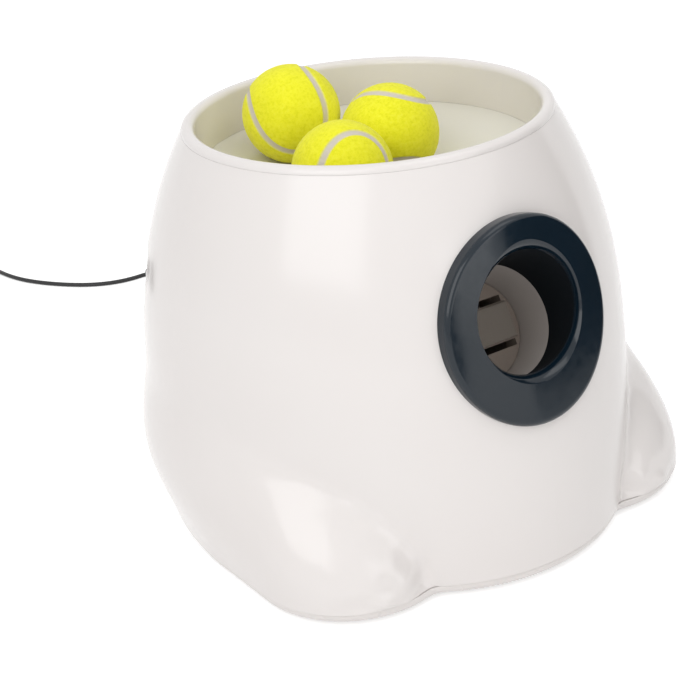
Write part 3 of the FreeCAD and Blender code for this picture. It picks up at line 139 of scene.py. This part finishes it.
pan_plastic = moulded_plastic("white_pan_plastic", (0.78, 0.745, 0.725), (0.76, 0.72, 0.70), 0.24, 0.34)
pad_rubber = moulded_plastic("black_pad_rubber", (0.018, 0.018, 0.019), (0.028, 0.027, 0.027), 0.62, 0.8,
                             900.0, 0.00004)
screw_steel = drawn_metal("zinc_screw_steel", (0.62, 0.63, 0.65), (0.42, 0.43, 0.45), 0.22, 0.42)
dress(pan_plastic, "base_pan")
dress(pad_rubber, "foot_pads")
dress(screw_steel, "base_screws")


# ---------------------------------------------------------------- mechanism frame and shafts
# Two steel plates, blanked and folded at the foot, stand on the pan and carry the barrel.
# Brass bushes pressed into them hold the ground gear shafts.

plate_steel = drawn_metal("rolled_plate_steel", (0.56, 0.57, 0.58), (0.42, 0.43, 0.44), 0.3, 0.48,
                          (1, 0.06, 1))
shaft_steel = drawn_metal("ground_shaft_steel", (0.66, 0.67, 0.68), (0.54, 0.55, 0.56), 0.12, 0.26,
                          (0.08, 1, 1))
bush_brass = drawn_metal("sintered_bush_brass", (0.62, 0.42, 0.16), (0.46, 0.29, 0.1), 0.3, 0.46)
dress(plate_steel, "frame_plate_left", "frame_plate_right")
dress(shaft_steel, "sector_shaft", "compound_shaft", "motor_shaft")
dress(bush_brass, "shaft_bushes")
dress(screw_steel, "frame_screws")


# ---------------------------------------------------------------- motor and gears
# A small can motor with its gearhead drives two steps of gears, up to the toothed sector.
# The wheels are moulded in white acetal and run on grease; the pinion is cut in brass.

acetal = moulded_plastic("white_gear_acetal", (0.74, 0.73, 0.69), (0.66, 0.63, 0.55), 0.3, 0.5)
can_steel = drawn_metal("plated_motor_can", (0.5, 0.51, 0.53), (0.38, 0.39, 0.41), 0.16, 0.3, (0.05, 1, 1))
switch_plastic = moulded_plastic("black_switch_plastic", (0.022, 0.022, 0.024), (0.034, 0.033, 0.033),
                                 0.34, 0.5)
dress(acetal, "sector_gear", "output_gear", "compound_gear")
dress(bush_brass, "motor_pinion")
dress(can_steel, "motor_gearhead", "drive_motor")
dress(screw_steel, "motor_screws")
dress(switch_plastic, "cycle_switch")


# ---------------------------------------------------------------- launch barrel and striker
# The white barrel narrows from a cone to the bore that the ball is thrown along.
# A spring throws the striker forward; a foam pad on its face meets the ball.
# Their white plastic is coloured darker warm grey and grey-brown: painted shade for the dim bore.

# painted shade: the barrel, striker and pad colours are darkened for the dim light deep inside the body
barrel_painted_shade_plastic = moulded_plastic("barrel_painted_shade", (0.46, 0.425, 0.40), (0.42, 0.38, 0.355), 0.3, 0.42)
striker_painted_shade_plastic = moulded_plastic("striker_painted_shade", (0.33, 0.275, 0.235), (0.27, 0.22, 0.185), 0.32, 0.46)
pad_foam_painted_shade = moulded_plastic("striker_foam_painted_shade", (0.30, 0.265, 0.23), (0.24, 0.205, 0.175), 0.75, 0.92,
                           700.0, 0.00012)
spring_steel = drawn_metal("oiled_spring_wire", (0.5, 0.5, 0.52), (0.3, 0.3, 0.31), 0.18, 0.36)
dress(barrel_painted_shade_plastic, "launch_barrel", "striker_housing", "spring_seat")
dress(striker_painted_shade_plastic, "striker_plunger")
dress(pad_foam_painted_shade, "striker_pad")
dress(spring_steel, "striker_spring")
dress(screw_steel, "barrel_screws")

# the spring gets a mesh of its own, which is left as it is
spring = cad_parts["striker_spring"]
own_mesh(spring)


# ---------------------------------------------------------------- batteries
# Four cells lie in a black box on the pan, for use without the mains lead.
# Each cell has a printed steel jacket with a copper-coloured band at its positive end.

def cell_jacket():
    """Dark jacket with a band round the positive end of every cell, and a soft clear coat."""
    material, nodes, links, surface, place = surface_of("battery_jacket")
    split = nodes.new("ShaderNodeSeparateXYZ")
    links.new(place.outputs["Object"], split.inputs["Vector"])
    along_cell = nodes.new("ShaderNodeMath")
    along_cell.operation = "FLOORED_MODULO"
    along_cell.inputs[1].default_value = cell_length
    links.new(split.outputs["X"], along_cell.inputs[0])
    at_band = range_on(nodes, links, along_cell.outputs["Value"], 0.0, 1.0, band_start,
                       band_start + band_blend)
    links.new(ramp_on(nodes, links, at_band, [(0.0, (0.03, 0.035, 0.045)), (1.0, (0.55, 0.27, 0.12))]),
              surface.inputs["Base Color"])
    scuffs = noise_on(nodes, links, place.outputs["Object"], 160.0, 4.0)
    links.new(range_on(nodes, links, scuffs, 0.24, 0.42), surface.inputs["Roughness"])
    surface.inputs["Metallic"].default_value = 0.5
    return material


cell_length = 0.05
band_start = 0.036
band_blend = 0.0006
contact_nickel = drawn_metal("nickel_contact_wire", (0.6, 0.57, 0.52), (0.46, 0.43, 0.39), 0.16, 0.32)
dress(switch_plastic, "battery_box")
dress(pan_plastic, "battery_door")
dress(screw_steel, "battery_door_screw")
dress(cell_jacket(), "battery_cells")
dress(contact_nickel, "battery_contacts")


# ---------------------------------------------------------------- body shell and bowl
# Glossy white ABS shell in one moulding, open at the top.
# The rim and the bowl's upper wall are one ring glued on top of it; the funnel below guides the balls.

def polished_shell_plastic(name, colour, flow_colour, roughness):
    """High-gloss moulded plastic, almost even, with the slow swell of a thick moulding."""
    material, nodes, links, surface, place = surface_of(name)
    flow = noise_on(nodes, links, place.outputs["Object"], 9.0, 2.0)
    links.new(ramp_on(nodes, links, flow, [(0.3, flow_colour), (0.7, colour)]), surface.inputs["Base Color"])
    handling = noise_on(nodes, links, place.outputs["Object"], 60.0, 5.0, 0.62)
    links.new(range_on(nodes, links, handling, roughness, roughness + 0.07), surface.inputs["Roughness"])
    surface.inputs["Specular IOR Level"].default_value = 0.5
    bump_on(nodes, links, flow, 0.0004, surface)
    return material


shell_plastic = polished_shell_plastic("gloss_white_shell", (0.80, 0.765, 0.748), (0.785, 0.745, 0.726), 0.13)
# painted shade and painted bounce light: the funnel's white is darker and yellower, for the shade in the bowl
# and the light off the yellow balls
bowl_painted_shade_plastic = polished_shell_plastic("bowl_white_painted_shade", (0.75, 0.73, 0.665), (0.735, 0.71, 0.64), 0.2)
dress(shell_plastic, "body_shell", "bowl_wall")
dress(bowl_painted_shade_plastic, "hopper_funnel")
dress(barrel_painted_shade_plastic, "feed_tube")
dress(switch_plastic, "ball_sensors")
dress(screw_steel, "funnel_screws")


# ---------------------------------------------------------------- exit bezel
# Oval navy ring moulded in polished ABS, bent to the body's curve and pushed into its opening.
# Its mouth is rounded out from the lip, and a collar behind it holds the barrel's front end.

def navy_plastic():
    """Deep blue polished plastic under a clear, slightly uneven top surface."""
    material, nodes, links, surface, place = surface_of("polished_navy_plastic")
    flow = noise_on(nodes, links, place.outputs["Object"], 22.0, 2.0)
    links.new(ramp_on(nodes, links, flow, [(0.3, (0.0032, 0.0095, 0.0165)), (0.7, (0.0048, 0.0125, 0.0215))]),
              surface.inputs["Base Color"])
    wiping = noise_on(nodes, links, place.outputs["Object"], 240.0, 4.0, 0.6)
    links.new(range_on(nodes, links, wiping, 0.1, 0.18), surface.inputs["Roughness"])
    surface.inputs["Specular IOR Level"].default_value = 0.46
    bump_on(nodes, links, flow, 0.00035, surface)
    return material


navy = navy_plastic()
dress(navy, "exit_bezel")

# behind the lip the collar is matt, and darker and less blue than the navy: painted shade for the deep bore
bore_collar_painted_shade = moulded_plastic("matt_bore_painted_shade", (0.0035, 0.005, 0.007), (0.005, 0.007, 0.009), 0.6, 0.75)
bore_collar_painted_shade.node_tree.nodes["Principled BSDF"].inputs["Specular IOR Level"].default_value = 0.12
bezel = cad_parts["exit_bezel"].data
bezel.materials.append(bore_collar_painted_shade)
lip_middle = Vector((0, -0.1212, 0.1373))
lip_tilt = math.radians(12)
lip_outwards = Vector((0, -math.cos(lip_tilt), math.sin(lip_tilt)))
widest_bore = 0.038
# the inward faces of the bore behind the lip take the darker painted shade
for face in bezel.polygons:
    reach = face.center - lip_middle
    height = reach.dot(lip_outwards)
    sideways = reach - height * lip_outwards
    if height < 0 and sideways.length < widest_bore and face.normal.dot(sideways) < 0:
        face.material_index = 1


# ---------------------------------------------------------------- control panel
# Navy panel let into the back of the body, with a power button, a range button and three lamps.
# The circuit board is screwed to posts behind it. The caps carry moulded signs.

def board_laminate():
    """Green solder resist over copper tracks, which stand a little proud of the glass laminate."""
    material, nodes, links, surface, place = surface_of("green_board_laminate")
    tracks = nodes.new("ShaderNodeTexVoronoi")
    tracks.feature = "DISTANCE_TO_EDGE"
    tracks.inputs["Scale"].default_value = 190.0
    links.new(place.outputs["Object"], tracks.inputs["Vector"])
    width = range_on(nodes, links, tracks.outputs["Distance"], 1.0, 0.0, 0.03, 0.06)
    links.new(ramp_on(nodes, links, width, [(0.0, (0.006, 0.075, 0.03)), (1.0, (0.02, 0.15, 0.06))]),
              surface.inputs["Base Color"])
    surface.inputs["Roughness"].default_value = 0.32
    bump_on(nodes, links, width, 0.00004, surface)
    return material


def lamp_lens():
    """Clear moulded lens: smoky where the lamp is off."""
    material, nodes, links, surface, place = surface_of("clear_lamp_lens")
    cloud = noise_on(nodes, links, place.outputs["Object"], 500.0, 2.0)
    links.new(ramp_on(nodes, links, cloud, [(0.3, (0.56, 0.59, 0.57)), (0.7, (0.64, 0.67, 0.65))]),
              surface.inputs["Base Color"])
    surface.inputs["Transmission Weight"].default_value = 0.6
    surface.inputs["Roughness"].default_value = 0.22
    surface.inputs["IOR"].default_value = 1.49
    return material


button_plastic = moulded_plastic("grey_button_plastic", (0.17, 0.185, 0.20), (0.15, 0.16, 0.172), 0.3, 0.42)
sign_plastic = moulded_plastic("white_sign_ink", (0.74, 0.74, 0.72), (0.68, 0.68, 0.66), 0.4, 0.55)
dress(navy, "control_panel")
dress(button_plastic, "power_button", "range_button")
dress(board_laminate(), "control_board")
dress(switch_plastic, "board_parts")
dress(screw_steel, "board_screws")

sign_radius = 0.0029
sign_line = 0.0006
sign_height = 0.00025
sign_sink = 0.0001
panel_outwards = Vector((-math.sqrt(0.5), math.sqrt(0.5), 0))
panel_sideways = Vector((-math.sqrt(0.5), -math.sqrt(0.5), 0))


def onto_panel(reach, sideways, height):
    """Carries what is drawn flat, with z as its height, onto the panel."""
    carry = Matrix((panel_sideways, (0, 0, 1), panel_outwards)).transposed().to_4x4()
    carry.translation = panel_outwards * reach + panel_sideways * sideways + Vector((0, 0, height))
    return carry


def cap_face(name):
    """Carries a sign onto the middle of a cap's face."""
    corners = [vertex.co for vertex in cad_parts[name].data.vertices]
    reach = max(panel_outwards.dot(corner) for corner in corners)
    sideways = [panel_sideways.dot(corner) for corner in corners]
    heights = [corner.z for corner in corners]
    middle, height = (min(sideways) + max(sideways)) / 2, (min(heights) + max(heights)) / 2
    return onto_panel(reach - sign_sink, middle, height)


def start_piece(name):
    bpy.ops.object.select_all(action="DESELECT")
    bpy.ops.mesh.primitive_cube_add(size=1)
    sign = bpy.context.object
    sign.name = sign.data.name = name
    bpy.ops.object.mode_set(mode="EDIT")
    bpy.ops.mesh.select_all(action="SELECT")
    return sign


def finish_sign(sign, cap, body):
    bpy.ops.mesh.select_all(action="SELECT")
    bpy.ops.mesh.normals_make_consistent(inside=False)
    bpy.ops.object.mode_set(mode="OBJECT")
    sign.data.transform(cap_face(cap))
    sign.data.materials.append(sign_plastic)
    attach(sign, body)


power_sign = start_piece("power_sign")
bpy.ops.transform.resize(value=(sign_line, sign_radius, sign_height))
bpy.ops.transform.translate(value=(0, sign_radius * 0.75, sign_height / 2))
bpy.ops.mesh.select_all(action="DESELECT")
bpy.ops.mesh.primitive_plane_add(size=1, rotation=(math.radians(90), 0, 0))
bpy.ops.transform.resize(value=(sign_line, 1, sign_height))
bpy.ops.transform.translate(value=(sign_radius, 0, sign_height / 2))
bpy.ops.transform.rotate(value=math.radians(-125), orient_axis="Z", center_override=(0, 0, 0))
bpy.ops.mesh.spin(steps=36, angle=math.radians(290), center=(0, 0, 0), axis=(0, 0, 1))
finish_sign(power_sign, "power_button", "power_key")

bar_pitch = sign_line * 2.4
range_sign = start_piece("range_sign")
for step in (-1, 0, 1):
    bar_height = sign_radius * (1.0 + 0.5 * step)
    if step > -1:
        bpy.ops.mesh.primitive_cube_add(size=1)
    bpy.ops.transform.resize(value=(sign_line, bar_height, sign_height))
    bpy.ops.transform.translate(value=(step * bar_pitch, (bar_height - sign_radius) / 2, sign_height / 2))
    bpy.ops.mesh.select_all(action="DESELECT")
finish_sign(range_sign, "range_button", "range_key")

# the lamps' lenses follow the panel's curve, each with a softly rounded end
lens_radius, lens_depth, lens_proud, lens_round = 0.002, 0.006, 0.0004, 0.0005
lens_places = (0.011, 0.019, 0.027)
lens_height = 0.134
lens_corners = [vertex.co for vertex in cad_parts["indicator_lenses"].data.vertices]
panel_radius = max(panel_outwards.dot(corner) for corner in lens_corners) - lens_proud
bpy.ops.object.select_all(action="DESELECT")
bpy.ops.mesh.primitive_cylinder_add(vertices=40, radius=lens_radius, depth=lens_depth)
lenses = bpy.context.object
lenses.name = lenses.data.name = "panel_lenses"
bpy.ops.object.mode_set(mode="EDIT")
bpy.ops.mesh.select_all(action="SELECT")
bpy.ops.transform.translate(value=(lens_places[0], 0, -lens_depth / 2))
for place in lens_places[1:]:
    bpy.ops.mesh.select_all(action="DESELECT")
    bpy.ops.mesh.primitive_cylinder_add(vertices=40, radius=lens_radius, depth=lens_depth,
                                        location=(place, 0, -lens_depth / 2))
bpy.ops.mesh.select_all(action="DESELECT")
bpy.ops.object.mode_set(mode="OBJECT")
for edge in lenses.data.edges:
    edge.select = all(lenses.data.vertices[i].co.z > -lens_round for i in edge.vertices)
bpy.ops.object.mode_set(mode="EDIT")
bpy.ops.mesh.select_mode(type="EDGE")
bpy.ops.mesh.bevel(offset=lens_round, segments=3)
bpy.ops.object.mode_set(mode="OBJECT")
for vertex in lenses.data.vertices:
    place = min(lens_places, key=lambda x: abs(x - vertex.co.x))
    vertex.co.z += math.sqrt(panel_radius ** 2 - place ** 2) - panel_radius
lenses.data.transform(onto_panel(panel_radius + lens_proud, 0, lens_height))
bpy.ops.object.shade_smooth_by_angle(angle=math.radians(40))
lenses.data.materials.append(lamp_lens())
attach(lenses, "housing")
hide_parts("indicator_lenses")


# ---------------------------------------------------------------- socket, lead and wall adapter
# A thin black lead runs from the barrel plug at the back to a plug-in adapter, 1.5 m in all.
# Its unseen length is wound into a neat coil beside the adapter.

lead_pvc = moulded_plastic("black_lead_pvc", (0.016, 0.016, 0.017), (0.024, 0.024, 0.025), 0.36, 0.52,
                           1100.0, 0.00002)
dress(lead_pvc, "dc_plug", "wall_adapter")
dress(switch_plastic, "dc_jack")
dress(pan_plastic, "jack_bracket")
dress(contact_nickel, "adapter_pins")

lead_diameter = 0.003
lead_rest = lead_diameter / 2
relief_tip = (0, 0.16324, 0.032)
lead_route = [relief_tip, (0.0005, 0.189, 0.0313), (0.003, 0.205, 0.022), (0.008, 0.221, 0.0075),
              (0.016, 0.240, lead_rest), (0.029, 0.265, lead_rest), (0.045, 0.294, lead_rest),
              (0.062, 0.322, lead_rest), (0.066, 0.348, lead_rest), (0.050, 0.368, lead_rest),
              (0.024, 0.367, lead_rest), (0.002, 0.378, lead_rest), (-0.017, 0.400, lead_rest),
              (-0.031, 0.425, lead_rest), (-0.037, 0.452, lead_rest), (-0.037, 0.479, lead_rest)]
coil_x, coil_y = -0.058, 0.506
coil_turns = 9.25
points_in_turn = 14
turn_radii = [0.0213, 0.0182, 0.0151]       # the middle of each ring of turns, outermost first
layer_rise = 0.0029
coil_points = []
cross_over = 0.3                            # last share of a turn, in which the lead crosses to the next
last_turn = 8


def coil_place(turn):
    """Layer of a turn, and its ring: every second layer is wound from the inside out."""
    layer, ring = divmod(min(turn, last_turn), len(turn_radii))
    return layer, ring if layer % 2 == 0 else len(turn_radii) - 1 - ring


for step in range(int(coil_turns * points_in_turn) + 1):
    turn = step / points_in_turn
    layer, inwards = coil_place(int(turn))
    next_layer, next_inwards = coil_place(int(turn) + 1)
    blend = max(0.0, (turn - int(turn) - (1 - cross_over)) / cross_over)
    radius = turn_radii[inwards] * (1 - blend) + turn_radii[next_inwards] * blend
    level = lead_rest + layer_rise * (layer * (1 - blend) + next_layer * blend)
    angle = math.tau * turn
    coil_points.append((coil_x + radius * math.cos(angle), coil_y + radius * math.sin(angle), level))
lead_tail = [(-0.066, 0.5278, 0.0085), (-0.080, 0.5282, 0.0130), (-0.090, 0.528, 0.014),
             (-0.098, 0.528, 0.014)]
lead_points = lead_route + coil_points + lead_tail

lead_line = bpy.data.curves.new("mains_lead", "CURVE")
lead_line.dimensions = "3D"
spline = lead_line.splines.new("NURBS")
spline.points.add(len(lead_points) - 1)
for point, place in zip(spline.points, lead_points):
    point.co = (*place, 1)
spline.order_u = 3
spline.use_endpoint_u = True
spline.resolution_u = 6
lead_line.bevel_depth = lead_diameter / 2
lead_line.bevel_resolution = 5
lead_line.use_fill_caps = True
lead = bpy.data.objects.new("mains_lead", lead_line)
bpy.context.scene.collection.objects.link(lead)
lead_line.materials.append(lead_pvc)
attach(lead, "housing")
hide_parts("power_cord", "cord_coil", "adapter_lead")


# ---------------------------------------------------------------- balls
# Three small tennis balls: a rubber core under two dumb-bell patches of yellow felt.
# The patches are glued edge to edge, and a pale rubber seam shows in a shallow groove between them.

ball_cuts = 62
seam_half_width = 0.0018
seam_depth = 0.0007
felt_lift = 0.0001
seam_big, seam_small = 0.8, 0.2              # shape of the seam's curve round a unit ball
seam_samples = 720


def seam_curve():
    """Points of the seam on a ball of radius 1."""
    rise = 2 * math.sqrt(seam_big * seam_small)
    points = []
    for i in range(seam_samples):
        t = math.tau * i / seam_samples
        point = Vector((seam_big * math.cos(t) + seam_small * math.cos(3 * t),
                        seam_big * math.sin(t) - seam_small * math.sin(3 * t),
                        rise * math.sin(2 * t)))
        points.append(point.normalized())
    return points


def seam_distances(directions):
    """Distance of each direction from the seam, along a unit ball."""
    tree = KDTree(seam_samples)
    for i, point in enumerate(seam_curve()):
        tree.insert(point, i)
    tree.balance()
    return [tree.find(direction)[2] for direction in directions]


def felt_yellow():
    """Optic yellow felt: matted wool with loose fibres, and the pale seam where the attribute says."""
    material, nodes, links, surface, place = surface_of("optic_yellow_felt")
    wool = noise_on(nodes, links, place.outputs["Object"], 520.0, 6.0, 0.72)
    clumps = noise_on(nodes, links, place.outputs["Object"], 120.0, 4.0, 0.6)
    yellow = ramp_on(nodes, links, wool, [(0.3, (0.80, 0.79, 0.008)), (0.52, (0.94, 0.915, 0.03)),
                                          (0.75, (0.97, 0.955, 0.07))])
    faded = ramp_on(nodes, links, clumps, [(0.3, (0.955, 0.955, 0.9)), (0.7, (1.0, 1.0, 1.0))])
    felt = nodes.new("ShaderNodeMix")
    felt.data_type = "RGBA"
    felt.blend_type = "MULTIPLY"
    felt.inputs["Factor"].default_value = 1.0
    links.new(yellow, felt.inputs[6])
    links.new(faded, felt.inputs[7])
    seam = nodes.new("ShaderNodeAttribute")
    seam.attribute_name = "seam"
    joined = nodes.new("ShaderNodeMix")
    joined.data_type = "RGBA"
    joined.inputs[7].default_value = (0.66, 0.61, 0.53, 1)
    links.new(seam.outputs["Fac"], joined.inputs["Factor"])
    links.new(felt.outputs[2], joined.inputs[6])
    links.new(joined.outputs[2], surface.inputs["Base Color"])
    surface.inputs["Roughness"].default_value = 0.93
    surface.inputs["Sheen Weight"].default_value = 0.14
    surface.inputs["Sheen Roughness"].default_value = 0.5
    surface.inputs["Specular IOR Level"].default_value = 0.2
    bump_on(nodes, links, wool, 0.0004, surface)
    return material


felt = felt_yellow()


def make_ball(name, body, centre, ball_radius, turn):
    """A cube cut fine and blown up to a ball, with the seam's groove pressed in, and turned."""
    bpy.ops.object.select_all(action="DESELECT")
    bpy.ops.mesh.primitive_cube_add(size=2)
    ball = bpy.context.object
    ball.name = ball.data.name = name
    bpy.ops.object.mode_set(mode="EDIT")
    bpy.ops.mesh.select_all(action="SELECT")
    bpy.ops.mesh.subdivide(number_cuts=ball_cuts)
    bpy.ops.object.mode_set(mode="OBJECT")
    vertices = ball.data.vertices
    # equal angles for equal steps keep the squares nearly even
    directions = [Vector([math.tan(c * math.pi / 4) for c in v.co]).normalized() for v in vertices]
    distances = seam_distances(directions)
    shares = []
    random.seed(name)
    for vertex, direction, distance in zip(vertices, directions, distances):
        across = distance * ball_radius / seam_half_width
        share = 1 - min(max((across - 0.75) / 0.5, 0.0), 1.0)
        shares.append(share)
        pile = (felt_lift * random.uniform(-1, 1) - felt_lift) * (1 - share)
        vertex.co = turn @ direction * (ball_radius + pile - seam_depth * share) + centre
    seam = ball.data.attributes.new("seam", "FLOAT", "POINT")
    seam.data.foreach_set("value", shares)
    bpy.ops.object.shade_smooth()
    ball.data.materials.append(felt)
    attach(ball, body)
    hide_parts(name.replace("felt_", ""))


def ball_turn(w, x, y, z):
    return Quaternion((w, x, y, z)).to_matrix()


ball_turns = {"ball_1": ball_turn(-0.7743, 0.1317, 0.1896, 0.5893),
              "ball_2": ball_turn(0.7412, 0.6259, -0.0540, 0.2367),
              "ball_3": ball_turn(-0.0014, 0.9503, 0.2385, -0.2001)}
for (node, turn), body in zip(ball_turns.items(), ("ball_a", "ball_b", "ball_c")):
    low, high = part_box(node)
    make_ball("felt_" + node, body, (Vector(low) + Vector(high)) / 2, (high[0] - low[0]) / 2, turn)


# ---------------------------------------------------------------- floor, light and camera
# A wide white table under soft light: a large lamp on the left, one above, and two low ones in front,
# of which the second only fills the shade. Two black cards and a surround that darkens towards the
# front right give the dark edges in the gloss.

def backdrop_rays(nodes, links):
    """1 for the rays that show the white backdrop: the camera's, and those in gloss and clear plastic."""
    path = nodes.new("ShaderNodeLightPath")
    total = path.outputs["Is Camera Ray"]
    for kind in ("Is Glossy Ray", "Is Transmission Ray"):
        add = nodes.new("ShaderNodeMath")
        add.operation = "ADD"
        add.use_clamp = True
        links.new(total, add.inputs[0])
        links.new(path.outputs[kind], add.inputs[1])
        total = add.outputs["Value"]
    return total


bpy.ops.object.select_all(action="DESELECT")
bpy.ops.mesh.primitive_plane_add(size=40)
table_top = bpy.context.object
table_top.name = "white_table"
table_white = bpy.data.materials.new("white_table")
table_white.use_nodes = True
nodes, links = table_white.node_tree.nodes, table_white.node_tree.links
nodes.clear()
paper = nodes.new("ShaderNodeBsdfDiffuse")
paper.inputs["Color"].default_value = (0.8, 0.8, 0.8, 1)
glow = nodes.new("ShaderNodeEmission")
glow_level = nodes.new("ShaderNodeMath")
glow_level.operation = "MULTIPLY_ADD"
glow_level.inputs[1].default_value = 0.4
glow_level.inputs[2].default_value = 0.1
links.new(backdrop_rays(nodes, links), glow_level.inputs[0])
links.new(glow_level.outputs["Value"], glow.inputs["Strength"])
both = nodes.new("ShaderNodeAddShader")
links.new(paper.outputs["BSDF"], both.inputs[0])
links.new(glow.outputs["Emission"], both.inputs[1])
out = nodes.new("ShaderNodeOutputMaterial")
links.new(both.outputs["Shader"], out.inputs["Surface"])
table_top.data.materials.append(table_white)

surround = bpy.data.worlds.new("studio_surround")
bpy.context.scene.world = surround
surround.use_nodes = True
nodes, links = surround.node_tree.nodes, surround.node_tree.links
direction = nodes.new("ShaderNodeTexCoord")
split = nodes.new("ShaderNodeSeparateXYZ")
links.new(direction.outputs["Generated"], split.inputs["Vector"])
overhead = range_on(nodes, links, split.outputs["Z"], 0.36, 0.82, 0.0, 0.75)
dark_azimuth = math.radians(48)             # from the front towards the right
dark_side = nodes.new("ShaderNodeVectorMath")
dark_side.operation = "DOT_PRODUCT"
dark_side.inputs[1].default_value = (math.sin(dark_azimuth), -math.cos(dark_azimuth), 0)
links.new(direction.outputs["Generated"], dark_side.inputs[0])
dimming = range_on(nodes, links, dark_side.outputs["Value"], 1.0, 0.2, 0.72, 0.95)
level = nodes.new("ShaderNodeMath")
level.operation = "MULTIPLY"
links.new(overhead, level.inputs[0])
links.new(dimming, level.inputs[1])
tint = ramp_on(nodes, links, dimming, [(0.2, (1.0, 0.86, 0.76)), (1.0, (1.0, 1.0, 1.0))])
backdrop = backdrop_rays(nodes, links)
strength = nodes.new("ShaderNodeMix")
strength.inputs[3].default_value = 1.0
links.new(backdrop, strength.inputs["Factor"])
links.new(level.outputs["Value"], strength.inputs[2])
links.new(strength.outputs[0], nodes["Background"].inputs["Strength"])
shade = nodes.new("ShaderNodeMix")
shade.data_type = "RGBA"
shade.inputs[7].default_value = (1, 1, 1, 1)
links.new(backdrop, shade.inputs["Factor"])
links.new(tint, shade.inputs[6])
links.new(shade.outputs[2], nodes["Background"].inputs["Color"])


def softbox(name, place, width, height, power):
    """Rectangular studio lamp that faces the middle of the launcher."""
    launcher_middle = Vector((0, 0, 0.11))
    lamp = bpy.data.lights.new(name, "AREA")
    lamp.shape = "RECTANGLE"
    lamp.size, lamp.size_y, lamp.energy = width, height, power
    holder = bpy.data.objects.new(name, lamp)
    bpy.context.scene.collection.objects.link(holder)
    holder.location = place
    holder.rotation_mode = "QUATERNION"
    holder.rotation_quaternion = (Vector(place) - launcher_middle).to_track_quat("Z", "Y")
    return holder


def card(name, start, end, height, material):
    """Upright card beside the camera's view, from one floor point to another, with no shadow."""
    bpy.ops.object.select_all(action="DESELECT")
    middle = (Vector(start) + Vector(end)) / 2
    run = Vector(end) - Vector(start)
    bpy.ops.mesh.primitive_plane_add(size=1)
    sheet = bpy.context.object
    sheet.name = name
    for vertex in sheet.data.vertices:
        along, above = vertex.co.x, vertex.co.y + 0.5
        vertex.co = (middle.x + run.x * along, middle.y + run.y * along, height * above)
    sheet.data.materials.append(material)
    sheet.visible_camera = sheet.visible_diffuse = sheet.visible_shadow = sheet.visible_transmission = False
    return sheet


black_card = bpy.data.materials.new("black_card")
black_card.use_nodes = True
black_card.node_tree.nodes["Principled BSDF"].inputs["Base Color"].default_value = (0.012, 0.012, 0.013, 1)
right_card = card("right_black_card", (0.40, -0.80), (0.62, -0.12), 0.5, black_card)
right_card.visible_diffuse = True
card("low_black_card", (-0.02, -1.38), (0.235, -1.34), 0.19, black_card)

softbox("left_softbox", (-1.3, -0.7, 1.05), 1.25, 1.25, 8.7)
softbox("top_softbox", (0.35, -0.55, 1.5), 0.9, 0.9, 3.2)
softbox("front_softbox", (0.26, -1.7, 0.42), 0.99, 0.75, 2.6)
front_fill = softbox("front_fill", (-0.1, -1.5, 0.25), 0.6, 0.6, 1.0)
front_fill.visible_glossy = False

azimuth, elevation, roll = math.radians(-32.38), math.radians(24.27), math.radians(-5.02)
distance = 0.92539
aim = Vector((-0.03073, -0.00367, 0.09387))
back = Vector((math.sin(azimuth) * math.cos(elevation), -math.cos(azimuth) * math.cos(elevation),
               math.sin(elevation)))
level_right = Vector((math.cos(azimuth), math.sin(azimuth), 0))
level_up = back.cross(level_right)
right = math.cos(roll) * level_right + math.sin(roll) * level_up
up = math.cos(roll) * level_up - math.sin(roll) * level_right
stance = Matrix((right, up, back)).transposed().to_4x4()
stance.translation = aim + distance * back
camera = bpy.data.objects.new("camera", bpy.data.cameras.new("camera"))
bpy.context.scene.collection.objects.link(camera)
camera.matrix_world = stance
camera.data.sensor_width = 36
camera.data.lens = 92.65
bpy.context.scene.camera = camera
bpy.context.scene.view_settings.view_transform = "Standard"
